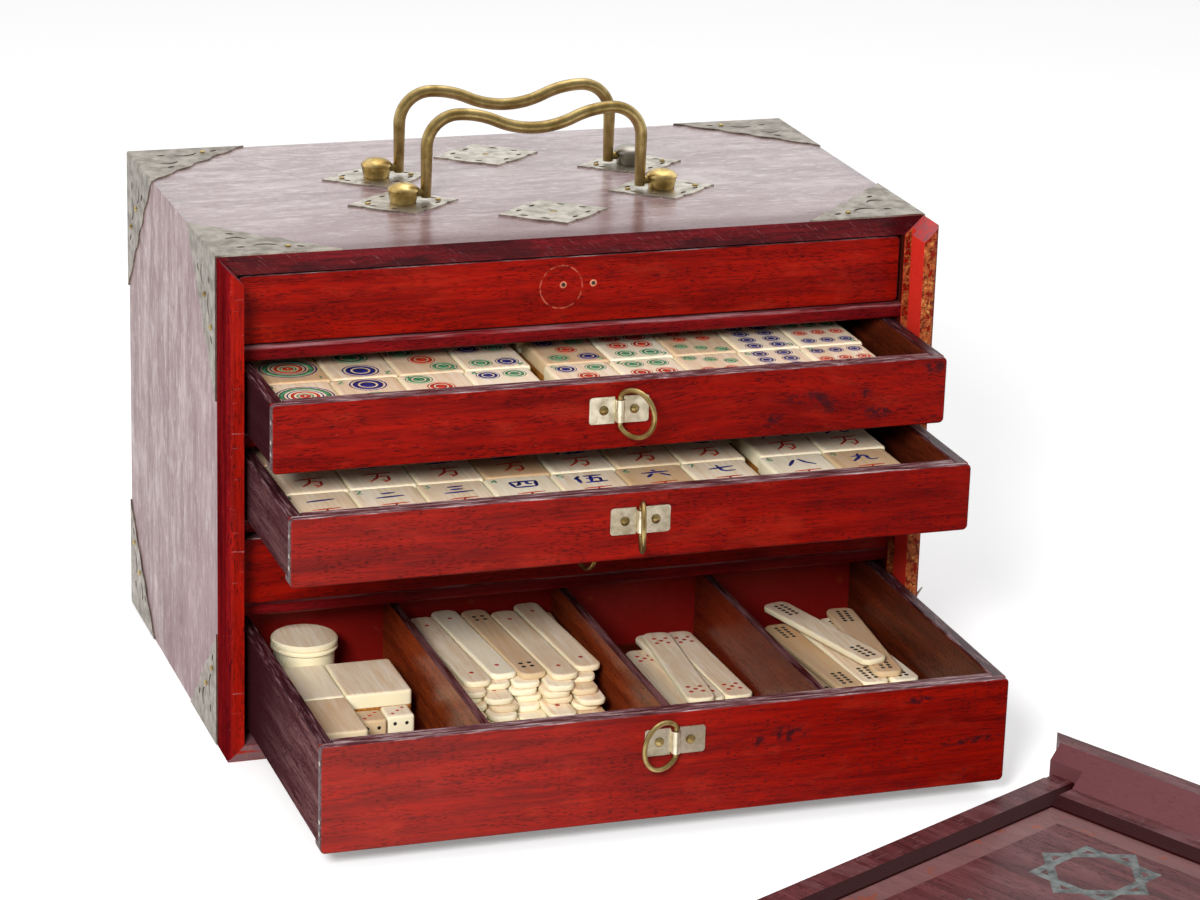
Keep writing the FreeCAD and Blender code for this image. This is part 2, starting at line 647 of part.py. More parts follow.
def ring(number):
    """D-shaped wire ring, its straight part in the knuckle, swung about that part."""
    axis = ring_axis(number)
    inner = RING_RADIUS - RING_CORNER
    centre = RING_CORNER + math.sqrt(inner ** 2 - RING_STRAIGHT ** 2)
    turn = math.atan2(RING_STRAIGHT, RING_CORNER - centre)

    def at(out, up):
        return Vector(0, axis.y - out, axis.z + up)

    def arc(cx, cz, r, first, last):
        points = [at(cx + r * math.cos(a), cz + r * math.sin(a))
                  for a in (first, (first + last) / 2, last)]
        return Part.Arc(*points).toShape()

    path = Part.Wire([line(at(0, -RING_STRAIGHT), at(0, RING_STRAIGHT)),
                      arc(RING_CORNER, RING_STRAIGHT, RING_CORNER, math.pi, turn),
                      arc(centre, 0, RING_RADIUS, turn, -turn),
                      arc(RING_CORNER, -RING_STRAIGHT, RING_CORNER, -turn, -math.pi)])
    profile = Part.Wire(Part.makeCircle(RING_WIRE, at(0, -RING_STRAIGHT), Vector(0, 0, 1)))
    wire = path.makePipeShell([profile], True, False)
    return turned(wire, axis, Vector(0, 0, 1), RING_SWING[number - 1])


def make_pulls():
    for number in NUMBERS:
        if RING_SWING[number - 1] is None:
            continue
        pins = [pull_pin(place) for place in pull_pin_places(number)]
        export("drawer_%d_pull" % number, pull_plate(number), *pins)
        export("drawer_%d_ring" % number, ring(number))


# ---- what the drawers hold ------------------------------------------------------------------
def block(x, y, z, width, length, height):
    """Block with its low front left corner at a place."""
    return box(x, x + width, y, y + length, z, z + height)


def tile_set(number):
    """As many rows of tiles as the drawer takes, with a break where they have slid apart."""
    floor = drawer_floor(number)
    first = front_y(number) + FRONT + TILE_FRONT_GAP
    across = TILE_WIDTH + TILE_GAP
    along = TILE_LENGTH + TILE_ROW_GAP
    room = 2 * DRAWER_INNER - TILE_GAP - TILE_STAGGER - TILE_BREAK
    columns = min(TILE_COLUMNS, int(room / across))
    rows = min(TILE_ROWS, int((DRAWER_LENGTH - FRONT - DRAWER_SIDE - TILE_FRONT_GAP) / along))
    tiles = []
    for row in range(rows):
        for column in range(columns):
            slid = TILE_BREAK if column >= TILES_BEFORE_BREAK else 0.0
            stagger = TILE_STAGGER * (row % 2)
            x = -DRAWER_INNER + TILE_GAP + stagger + column * across + slid
            tiles.append(block(x, first + row * along, floor, TILE_WIDTH, TILE_LENGTH, TILE_THICK))
    return tiles


def counter(x, y, z, width, turn):
    """Flat counting stick with round ends, turned about its front end."""
    radius = width / 2
    reach = COUNTER_LENGTH - width
    a, b = Vector(-radius, radius, 0), Vector(radius, radius, 0)
    c, d = Vector(radius, radius + reach, 0), Vector(-radius, radius + reach, 0)
    wire = Part.Wire([Part.Arc(a, Vector(0, 0, 0), b).toShape(), line(b, c),
                      Part.Arc(c, Vector(0, width + reach, 0), d).toShape(), line(d, a)])
    stick = Part.Face(wire).extrude(Vector(0, 0, COUNTER))
    stick.rotate(Vector(0, 0, 0), Vector(0, 0, 1), turn)
    stick.translate(Vector(x, y, z))
    return stick


def counter_pile(left, right, layers, width):
    """Layers of counters between two walls: each is (from the wall, count, y, turn)."""
    pitch = width + COUNTER_GAP
    sticks = []
    for level, (margin, count, y, turn) in enumerate(layers):
        lean = COUNTER_LENGTH * math.sin(math.radians(turn))
        first = left + margin + width / 2 + max(lean, 0)
        room = int((right - first - width / 2 - max(-lean, 0)) / pitch) + 1
        for index in range(min(count, room)):
            start = front_y(DRAWERS) + FRONT + y + COUNTER_STEP * (index % 3)
            sticks.append(counter(first + index * pitch, start,
                                  drawer_floor(DRAWERS) + level * COUNTER, width, turn))
    return sticks


def turned_piece(outline, place):
    """Solid of revolution about an upright axis, from radius and height pairs."""
    points = [Vector(radius, 0, z) for radius, z in outline]
    face = Part.Face(Part.makePolygon(points + points[:1]))
    solid = face.revolve(Vector(0, 0, 0), Vector(0, 0, 1), 360)
    solid.translate(place)
    return solid


def make_contents():
    export("dot_tiles", *tile_set(2))
    export("character_tiles", *tile_set(3))
    floor = drawer_floor(DRAWERS)
    left = -DRAWER_INNER + TILE_GAP
    across = left + TILE_WIDTH + TILE_GAP
    first = front_y(DRAWERS) + FRONT + SPARE_TILE_SET
    second = first + TILE_LENGTH + TILE_ROW_GAP
    third = second + TILE_LENGTH + TILE_ROW_GAP
    export("spare_tiles", *[block(x, y, floor, TILE_WIDTH, TILE_LENGTH, TILE_THICK)
                            for x, y in ((left, first), (left, second), (across, second))])
    aside = across + DIE_GAP
    export("dice", *[block(aside + index * (DIE + DIE_GAP), second - DIE - away, floor, DIE, DIE, DIE)
                     for index, away in enumerate(DIE_SETS)])
    centre = Vector(left + BOX_LID_RADIUS + BOX_SET, third + BOX_LID_RADIUS, floor)
    cup = turned_piece([(0, 0), (BOX_FOOT_RADIUS, 0), (BOX_FOOT_RADIUS, BOX_BEAD),
                        (BOX_RADIUS, 2 * BOX_BEAD), (BOX_RADIUS, BOX_HEIGHT),
                        (BOX_RADIUS - BOX_WALL, BOX_HEIGHT), (BOX_RADIUS - BOX_WALL, BOX_WALL),
                        (0, BOX_WALL)], centre)
    half_bead = BOX_BEAD / 2
    lid = turned_piece([(0, 0), (BOX_LID_RADIUS - BOX_BEAD, 0), (BOX_LID_RADIUS, half_bead),
                        (BOX_LID_RADIUS, BOX_BEAD),
                        (BOX_LID_RADIUS - half_bead, BOX_BEAD + half_bead),
                        (BOX_LID_RADIUS, 2 * BOX_BEAD), (BOX_LID_RADIUS, BOX_LID - half_bead),
                        (BOX_LID_RADIUS - half_bead, BOX_LID), (0, BOX_LID)],
                       centre + Vector(0, 0, BOX_HEIGHT))
    export("bone_box", cup, lid)
    walls = [(low + DIVIDER / 2, high - DIVIDER / 2) for low, high
             in zip(divider_places(), divider_places()[1:] + [DRAWER_INNER + DIVIDER / 2])]
    export("middle_counters", *counter_pile(*walls[0], MIDDLE_LAYERS, COUNTER_WIDTH))
    export("flat_counters", *counter_pile(*walls[1], FLAT_LAYERS, WIDE_COUNTER))
    export("right_counters", *counter_pile(*walls[2], RIGHT_LAYERS, WIDE_COUNTER))


# ---- cover ----------------------------------------------------------------------------------
def laid(shape):
    """From the cover's own axes to its place on the table."""
    shape.rotate(Vector(0, 0, 0), Vector(0, 0, 1), COVER_TURN)
    shape.translate(Vector(COVER_CORNER[0], COVER_CORNER[1], 0))
    return shape


def octagram(size, strip, low, high):
    """Two crossed square outlines, one turned by an eighth of a turn."""
    square = box(-size, size, -size, size, low, high)
    inner = size - strip
    square = square.cut(box(-inner, inner, -inner, inner, low, high))
    other = turned(square, Vector(0, 0, 0), Vector(0, 0, 1), 45)
    return square.fuse(other).removeSplitter()


def make_cover():
    """Sliding front cover on its back: framed panel with raised field, and the mitred top bar."""
    width = 2 * (INNER + GROOVE_DEPTH - COVER_FIT)
    length = HEIGHT - BOARD + GROOVE_DEPTH - COVER_FIT - BOARD - COVER_BEVEL_REACH
    inner = COVER_STILE + COVER_EDGE
    shoulder = GROOVE_DEPTH + BOARD - LIP + COVER_FIT
    stile_outline = [(0, 0), (inner, 0), (inner, COVER_EDGE_LOW), (COVER_STILE, COVER_FRAME),
                     (shoulder, COVER_FRAME), (shoulder, COVER_TONGUE), (0, COVER_TONGUE)]
    stile = prism_y(stile_outline, -length, 0)
    rail_outline = [(-COVER_BEVEL_REACH, 0), (-COVER_BEVEL_REACH, COVER_FRAME),
                    (-COVER_STILE, COVER_FRAME), (-inner, COVER_EDGE_LOW), (-inner, 0)]
    top_rail = prism_x(rail_outline, inner, width - inner)
    foot_outline = [(-length, 0), (-length, COVER_FRAME), (-length + COVER_STILE, COVER_FRAME),
                    (-length + inner, COVER_EDGE_LOW), (-length + inner, 0)]
    foot_rail = prism_x(foot_outline, inner, width - inner)
    edge = inner - PANEL_TONGUE
    panel = box(edge, width - edge, -length + edge, -edge, PANEL_LOW, PANEL_LOW + PANEL)
    other_stile = stile.mirror(Vector(width / 2, 0, 0), Vector(1, 0, 0))
    frame = [piece.cut(panel) for piece in (stile, other_stile, top_rail, foot_rail)]
    export("cover_frame", *[laid(piece) for piece in frame])

    start = inner + FIELD_MARGIN
    sunk = PANEL_LOW + PANEL
    surface = sunk + FIELD
    field = box(start, width - start, -length + start, -start, sunk, surface)
    rim = [e for e in field.Edges if abs(e.BoundBox.ZMin - surface) < 1e-6]
    panel = panel.fuse(field.makeChamfer(FIELD_BEVEL, rim)).removeSplitter()
    motifs = []
    for x in (width * INLAY_PLACE, width * (1 - INLAY_PLACE)):
        for y in [-length * share for share in INLAY_ROWS]:
            motif = octagram(INLAY_SIZE, INLAY_STRIP, surface - INLAY, surface)
            motif.translate(Vector(x, y, 0))
            motifs.append(motif)
    for motif in motifs:
        panel = panel.cut(motif)
    export("cover_panel", laid(panel))
    export("cover_inlay", *[laid(motif) for motif in motifs])

    top = BOARD + COVER_BEVEL_REACH
    over = HALF - width / 2
    hip = -over + BOARD
    outline = [(-over, top), (width + over, top), (width - hip, COVER_BEVEL_REACH),
               (width - hip, 0), (hip, 0), (hip, COVER_BEVEL_REACH)]
    bar = prism_z(outline, 0, MOULDING)
    bar = bar.fuse(box(inner, width - inner, -COVER_BEVEL_REACH, 0, 0, MOULDING))
    bar = bar.removeSplitter()
    bevel = [(COVER_BEVEL_REACH, MOULDING), (-2 * COVER_BEVEL_REACH, MOULDING),
             (-2 * COVER_BEVEL_REACH, COVER_FRAME), (-COVER_BEVEL_REACH, COVER_FRAME)]
    bar = bar.cut(prism_x(bevel, -HALF, width + HALF))
    export("cover_top_bar", laid(bar))


os.makedirs("parts", exist_ok=True)
make_box()
make_rails()
make_moulding()
make_plates()
make_handles()
make_drawers()
make_pulls()
make_contents()
make_cover()
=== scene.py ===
"""Looks of a hardwood case for tile games: five drawers, two brass bails and a loose front cover.

Shapes added here are worked out in millimetres, in the model's own frame, as whole arrays, and
go into their meshes in metres. Surfaces come from node materials on Object coordinates.
"""

import bpy
import numpy as np
from mathutils import Matrix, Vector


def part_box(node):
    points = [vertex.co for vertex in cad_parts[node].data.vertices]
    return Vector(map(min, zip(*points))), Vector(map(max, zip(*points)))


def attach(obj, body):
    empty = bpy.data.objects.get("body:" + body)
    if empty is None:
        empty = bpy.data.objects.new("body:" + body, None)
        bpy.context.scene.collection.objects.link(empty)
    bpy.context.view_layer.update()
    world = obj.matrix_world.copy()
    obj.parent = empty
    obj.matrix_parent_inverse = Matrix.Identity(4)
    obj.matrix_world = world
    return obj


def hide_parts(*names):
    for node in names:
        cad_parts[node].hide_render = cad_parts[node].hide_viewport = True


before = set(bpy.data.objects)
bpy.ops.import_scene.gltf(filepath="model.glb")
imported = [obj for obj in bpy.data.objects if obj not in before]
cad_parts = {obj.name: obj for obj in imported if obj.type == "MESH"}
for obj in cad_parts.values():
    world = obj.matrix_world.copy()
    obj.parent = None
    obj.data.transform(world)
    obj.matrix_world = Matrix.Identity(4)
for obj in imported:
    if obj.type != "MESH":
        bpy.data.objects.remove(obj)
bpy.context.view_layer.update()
MM = 0.001

# ---- sizes in millimetres -----------------------------------------------------------------
TILE = (22.6, 29.4, 13.0)       # width, length, thickness
TILE_STEP = (22.9, 29.65)
TILE_ROWS, TILE_COLUMNS = 4, 9
TILE_BREAK = 5.0                # where the tiles of a row have slid apart
TILE_STAGGER = 1.5              # every other row to the right
BONE_LAYER = 5.0                # bone on top of the bamboo
DIE = 9.4
COUNTER = (9.4, 62.0, 2.2)
WIDE_COUNTER = (10.2, 62.0, 2.2)
COUNTER_GAP = 0.5
COUNTER_STEP = 2.0
# Layers of counters: clearance to the wall on the left, how many, way in from the front, turn
MIDDLE_LAYERS = ((0.8, 5, 34.0, 0.0), (2.0, 5, 36.0, 0.0), (0.8, 5, 38.0, 1.0),
                 (3.5, 5, 40.0, -1.0), (1.0, 5, 43.0, 2.0), (4.0, 5, 46.0, -2.0),
                 (1.5, 5, 49.0, 1.5), (4.0, 5, 51.0, -2.3), (3.0, 5, 54.0, 3.6))
FLAT_LAYERS = ((19.0, 2, 46.0, -1.8), (26.6, 2, 56.0, 2.2), (24.1, 1, 55.4, -3.9))
RIGHT_LAYERS = ((18.0, 3, 46.0, 2.7), (28.0, 2, 30.0, 0.0), (19.0, 3, 50.0, 4.0),
                (38.7, 1, 57.0, -5.5), (21.4, 1, 57.2, 15.0))
COMPARTMENTS = (-58.487, 2.169, 55.689)     # right faces of the dividers, in x
FRONT = 6.2                     # thickness of a drawer front
PAINT = 0.06                    # painted marks stand this proud
PLATE = 0.6                     # sheet metal
PULL_DROP = 9.6                 # pins below the top of a drawer front
PULL_PINS = (-5.3, 5.3)
LOST_RING = (-6.0, 10.3, 7.4)   # x, below the top of the front, radius of the mark
POSTS = [(sx * 46.8, 7.5 + sy * 17.5) for sy in (-1, 1) for sx in (-1, 1)]
CENTRE_PLATES = [(0.0, 7.5 + sy * 40.0) for sy in (-1, 1)]
HALF, FACE, BACK, HEIGHT = 124.0, -62.5, 77.5, 171.2


# ---- meshes -------------------------------------------------------------------------------
def piece(name, points, faces, material, body, slot, replaces=(), **layers):
    """Points in millimetres and faces by index become a smooth mesh that rides on a body."""
    mesh = bpy.data.meshes.new(name)
    mesh.from_pydata((np.asarray(points).reshape(-1, 3) * MM).tolist(), [], faces)
    mesh.shade_smooth()
    mesh.materials.append(material)
    for key, values in layers.items():
        attribute = mesh.attributes.new(key, "FLOAT", "POINT")
        attribute.data.foreach_set("value", np.asarray(values, np.float32).ravel())
    obj = bpy.data.objects.new(name, mesh)
    bpy.context.scene.collection.objects.link(obj)
    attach(obj, body)
    if replaces:
        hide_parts(*replaces)
    return obj


def repeated(faces, count, stride):
    """The same faces for each of count copies whose points follow one another."""
    return [tuple(index + copy * stride for index in face)
            for copy in range(count) for face in faces]


def band_faces(rows, around):
    """Quads between closed rings of points: row j and j + 1, point i and i + 1, facing outwards."""
    j, i = np.meshgrid(np.arange(rows - 1), np.arange(around), indexing="ij")
    k = (i + 1) % around
    quads = np.stack([j * around + i, j * around + k, (j + 1) * around + k, (j + 1) * around + i], -1)
    return [tuple(q) for q in quads.reshape(-1, 4).tolist()]


def capped_faces(rows, around):
    """Closed rings with a pole below the first and above the last, which are the last two points."""
    low, high = rows * around, rows * around + 1
    i = np.arange(around)
    k = (i + 1) % around
    top = (rows - 1) * around
    floor = np.stack([np.full(around, low), k, i], -1)
    roof = np.stack([np.full(around, high), top + i, top + k], -1)
    return band_faces(rows, around) + [tuple(f) for f in np.concatenate([floor, roof]).tolist()]


def turned_in_place(points, turns, places):
    """Points turned about the vertical by degrees and moved to their places, one row for each copy."""
    angle = np.radians(np.asarray(turns, float)).reshape(-1, 1)
    x, y, z = points[..., 0], points[..., 1], points[..., 2]
    shape = (len(angle),) + x.shape
    c, s = [np.broadcast_to(f(angle), (len(angle), 1)) for f in (np.cos, np.sin)]
    flat = [np.broadcast_to(v, shape).reshape(len(angle), -1) for v in (x, y, z)]
    moved = np.stack([c * flat[0] - s * flat[1], s * flat[0] + c * flat[1], flat[2]], -1)
    return moved + np.asarray(places, float)[:, None, :]


def slab(size, corner, edge, steps=4):
    """Rounded slab about the middle of its underside.

    Plan: a rectangle whose corners are quarter circles of radius corner. Wall: each level draws the
    plan in by edge * (1 - sin t) and lies edge * (1 - cos t) above the floor or below the roof.
    """
    width, length, height = size
    quarter = np.linspace(0, np.pi / 2, steps + 1)
    angle = np.concatenate([quarter + turn * np.pi / 2 for turn in range(4)])
    centre_x = np.repeat([1, -1, -1, 1], steps + 1) * (width / 2 - corner)
    centre_y = np.repeat([1, 1, -1, -1], steps + 1) * (length / 2 - corner)
    t = np.linspace(0, np.pi / 2, 4)
    inset = np.concatenate([[edge * 1.5], edge * (1 - np.sin(t)), edge * (1 - np.sin(t[::-1])), [edge * 1.5]])
    rise = np.concatenate([[0], edge * (1 - np.cos(t)), height - edge * (1 - np.cos(t[::-1])), [height]])
    radius = np.maximum(corner - inset, 0.02)[:, None]
    shrink = np.maximum(inset - corner, 0)[:, None]
    x = (centre_x - np.sign(centre_x) * shrink) + radius * np.cos(angle)
    y = (centre_y - np.sign(centre_y) * shrink) + radius * np.sin(angle)
    z = np.broadcast_to(rise[:, None], x.shape)
    rings = np.stack([x, y, z], -1).reshape(-1, 3)
    points = np.concatenate([rings, [[0, 0, 0], [0, 0, height]]])
    return points, capped_faces(len(rise), len(angle))


def wobble(count, seed, reach):
    """Small uneven values between -reach and reach, the same on every run."""
    return np.random.default_rng(seed).uniform(-reach, reach, count)


def slabs(name, size, corner, edge, places, turns, material, body, slot, replaces=()):
    """One rounded slab repeated at many places, with its depth under the face and a shade of its own."""
    points, faces = slab(size, corner, edge)
    copies = turned_in_place(points, turns, places)
    depth = np.broadcast_to(points[:, 2] - size[2], (len(places), len(points)))
    shade = np.broadcast_to(wobble(len(places), len(name), 1.0)[:, None], depth.shape)
    return piece(name, copies, repeated(faces, len(places), len(points)),
                 material, body, slot, replaces, depth=depth, shade=shade)


def revolved(name, profile, places, axis, material, body, slot, around=16):
    """Profile of radius and height pairs spun about an axis through each place, poles at both ends.

    A point is place + r cos(a) u + r sin(a) v + h axis, where u, v and axis are square to each other.
    """
    axis = np.asarray(axis, float) / np.linalg.norm(axis)
    u = np.cross(axis, [0.31, 0.87, 0.38])
    u /= np.linalg.norm(u)
    v = np.cross(axis, u)
    profile = np.asarray(profile, float)
    angle = np.linspace(0, 2 * np.pi, around, endpoint=False)
    spin = np.cos(angle)[:, None] * u + np.sin(angle)[:, None] * v
    rings = profile[1:-1, 0, None, None] * spin + profile[1:-1, 1, None, None] * axis
    poles = profile[[0, -1], 1, None] * axis
    points = np.concatenate([rings.reshape(-1, 3), poles])
    copies = points + np.asarray(places, float)[:, None, :]
    faces = repeated(capped_faces(len(profile) - 2, around), len(places), len(points))
    return piece(name, copies, faces, material, body, slot)


def round_marks(name, places, radii, half_width, material, body, slot, around=22):
    """Painted circles: a band of half_width about each radius, with a low diamond section.

    A point is place + (r + w cos b) (cos a, sin a) and PAINT sin b up, with b at four quarters.
    """
    a = np.linspace(0, 2 * np.pi, around, endpoint=False)
    b = np.arange(4) * np.pi / 2
    half = np.asarray(half_width, float).reshape(-1, 1, 1) * np.cos(b)[:, None]
    radius = np.asarray(radii, float)[:, None, None] + half
    x, y = radius * np.cos(a), radius * np.sin(a)
    z = np.broadcast_to(PAINT * np.sin(b)[:, None], x.shape)
    points = np.stack([x, y, z], -1).reshape(len(places), -1, 3) + np.asarray(places, float)[:, None, :]
    j, i = np.meshgrid(np.arange(4), np.arange(around), indexing="ij")
    k, n = (i + 1) % around, (j + 1) % 4
    quads = np.stack([j * around + i, j * around + k, n * around + k, n * around + i], -1).reshape(-1, 4)
    return piece(name, points, repeated([tuple(q) for q in quads.tolist()], len(places), 4 * around),
                 material, body, slot)


def brush_marks(name, strokes, material, body, slot, steps=9):
    """Brush strokes: each is ((x, y), ...), height z and width.

    Along the way, s from 0 to 1, the half width is width / 2 * (0.55 + 0.45 sin(pi s)), and across it
    the section is a low diamond of height PAINT.
    """
    s = np.linspace(0, 1, steps)
    rings = []
    for path, z, width in strokes:
        path = np.asarray(path, float)
        run = np.concatenate([[0], np.cumsum(np.linalg.norm(np.diff(path, axis=0), axis=1))])
        at = np.stack([np.interp(s * run[-1], run, path[:, c]) for c in (0, 1)], -1)
        way = np.gradient(at, axis=0)
        way /= np.linalg.norm(way, axis=1, keepdims=True)
        half = width / 2 * (0.55 + 0.45 * np.sin(np.pi * s))
        left = np.stack([-way[:, 1], way[:, 0]], -1) * half[:, None]
        flat = np.stack([at - left, at, at + left, at], 1)
        up = z + PAINT * np.array([0, -1, 0, 1.0])
        rings.append(np.concatenate([flat, np.broadcast_to(up[None, :, None], (steps, 4, 1))], -1))
    points = np.array(rings).reshape(-1, 3)
    faces = [tuple(reversed(f)) for f in band_faces(steps, 4)]
    faces += [(0, 1, 2, 3), tuple(4 * steps - 1 - c for c in range(4))]
    return piece(name, points, repeated(faces, len(strokes), 4 * steps), material, body, slot)


# ---- materials ----------------------------------------------------------------------------
def linear(colour):
    """sRGB hex to linear red, green, blue and one."""
    value = np.array([int(colour[i:i + 2], 16) for i in (1, 3, 5)]) / 255
    value = np.where(value <= 0.04045, value / 12.92, ((value + 0.055) / 1.055) ** 2.4)
    return (*value.tolist(), 1.0)


USUAL = {"Mix": {"data_type": "RGBA"}, "MapRange": {"interpolation_type": "SMOOTHSTEP"},
         "Math": {"operation": "MULTIPLY"}}


def add(tree, kind, inputs=(), stops=(), **settings):
    """Adds a node. inputs are values or sockets by name or number, stops the colours of a ramp."""
    node = tree.nodes.new("ShaderNode" + kind)
    for name, value in {**USUAL.get(kind, {}), **settings}.items():
        setattr(node, name, value)
    for key, value in dict(inputs).items():
        if isinstance(value, bpy.types.NodeSocket):
            tree.links.new(value, node.inputs[key])
        elif isinstance(value, str):
            node.inputs[key].default_value = linear(value)
        else:
            node.inputs[key].default_value = value
    for index, (place, colour) in enumerate(stops):
        ramp = node.color_ramp.elements
        element = ramp[index] if index < 2 else ramp.new(place)
        element.position, element.color = place, linear(colour)
    return node.outputs


def tinted(tree, colour, tint, pattern, low, high, share=1.0):
    """Lays a tint over a colour, up to share, as a pattern goes from low to high."""
    cover = add(tree, "MapRange", {0: pattern, 1: low, 2: high, 4: share})[0]
    return add(tree, "Mix", {0: cover, 6: colour, 7: tint})[2]


def laid(tree, colour, tint, mask, share):
    """Lays a tint over a colour where a mask lets it, as strongly as share: a number or a mask."""
    return add(tree, "Mix", {0: add(tree, "Math", {0: mask, 1: share})[0], 6: colour, 7: tint})[2]


def blank(name):
    """New material with an empty tree."""
    material = bpy.data.materials.new(name)
    material.use_nodes = True
    material.node_tree.nodes.clear()
    return material, material.node_tree


def surface(tree, colour, roughness, height=None, depth_mm=0.1, **constants):
    """Principled surface with a bump of that depth, joined to the output."""
    inputs = {"Base Color": colour, "Roughness": roughness}
    inputs.update({key.replace("_", " "): value for key, value in constants.items()})
    if height is not None:
        bump = add(tree, "Bump", {"Height": height, "Distance": depth_mm * MM, "Strength": 1.0})
        inputs["Normal"] = bump[0]
    shader = add(tree, "BsdfPrincipled", inputs)
    add(tree, "OutputMaterial", {"Surface": shader[0]})


def squeezed(tree, point, along, length, width, shift=(0, 0, 0), detail=3.0, rough=0.55):
    """Noise drawn out to a length in millimetres along X, Y or Z, and to a width across it."""
    scale = [1000 / width] * 3
    scale["XYZ".index(along)] = 1000 / length
    mapped = add(tree, "Mapping", {"Vector": point, "Location": shift, "Scale": scale})
    return add(tree, "TexNoise", {
        "Vector": mapped[0], "Scale": 1.0, "Detail": detail, "Roughness": rough})[0]


def facing(tree):
    """Object coordinates, their x, y, z, and how far a face looks to x, y and z."""
    at = add(tree, "TexCoord")
    place = add(tree, "SeparateXYZ", {0: at["Object"]})
    look = add(tree, "SeparateXYZ", {0: at["Normal"]})
    return at["Object"], place, look


def figure(tree, point, along, tones, shift, bold=1.0):
    """Straight grain: bands 5 mm wide, hard streaks of 1.1 and 0.45 mm, pores of 0.3 by 2 mm.

    tones are light, middle, dark and pore. Returns the colour and the height for the bump.
    """
    light, middle, dark, pore = tones
    bands = squeezed(tree, point, along, 60, 5, shift, 4.0, 0.6)
    streaks = squeezed(tree, point, along, 22, 1.1, shift, 4.0, 0.7)
    hairs = squeezed(tree, point, along, 9, 0.45, shift, 2.0, 0.6)
    pores = squeezed(tree, point, along, 2.2, 0.32, shift, 0.0)
    clouds = squeezed(tree, point, along, 16, 6, shift, 2.0)
    colour = add(tree, "ValToRGB", {0: bands}, stops=((0.3, dark), (0.7, light), (0.5, middle)))[0]
    colour = tinted(tree, colour, dark, streaks, 0.5, 0.66, 0.55 * bold)
    colour = tinted(tree, colour, light, streaks, 0.48, 0.36, 0.45 * bold)
    colour = tinted(tree, colour, pore, hairs, 0.54, 0.68, 0.5 * bold)
    specks = add(tree, "Math", {
        0: add(tree, "MapRange", {0: pores, 1: 0.64, 2: 0.7})[0],
        1: add(tree, "MapRange", {0: clouds, 1: 0.38, 2: 0.56})[0]})[0]
    colour = laid(tree, colour, pore, specks, 0.65 * bold)
    height = add(tree, "Math", {
        0: add(tree, "Math", {0: streaks, 1: 0.4})[0],
        1: add(tree, "Math", {0: specks, 1: add(tree, "Math", {0: hairs, 1: 0.5})[0]}, operation="ADD")[0]},
        operation="SUBTRACT")[0]
    return colour, height


def outward(tree, place, look):
    """How far a face of a board looks away from the middle of the case, sideways."""
    side = add(tree, "Math", {0: place[0]}, operation="SIGN")[0]
    return add(tree, "Math", {0: look[0], 1: side})[0]


def flaked(tree, point, size, low, high, shift=(7, 3, 1)):
    """Mask of scattered flakes of about that size in millimetres."""
    return add(tree, "MapRange", {
        0: squeezed(tree, point, "X", size, size, shift, 5.0, 0.7), 1: low, 2: high})[0]


RED = ("#961204", "#7f0d04", "#5e0603", "#28070a")
DULL_RED = ("#7d1214", "#680c10", "#4a070b", "#24060a")
DUSTY = ("#ae979a", "#98807f", "#7a5e63", "#5a3a42")
STAINED = ("#6a2a14", "#54200f", "#3c140a", "#1e0a06")
SHEEN = 0.06                    # oiled wood with its polish gone


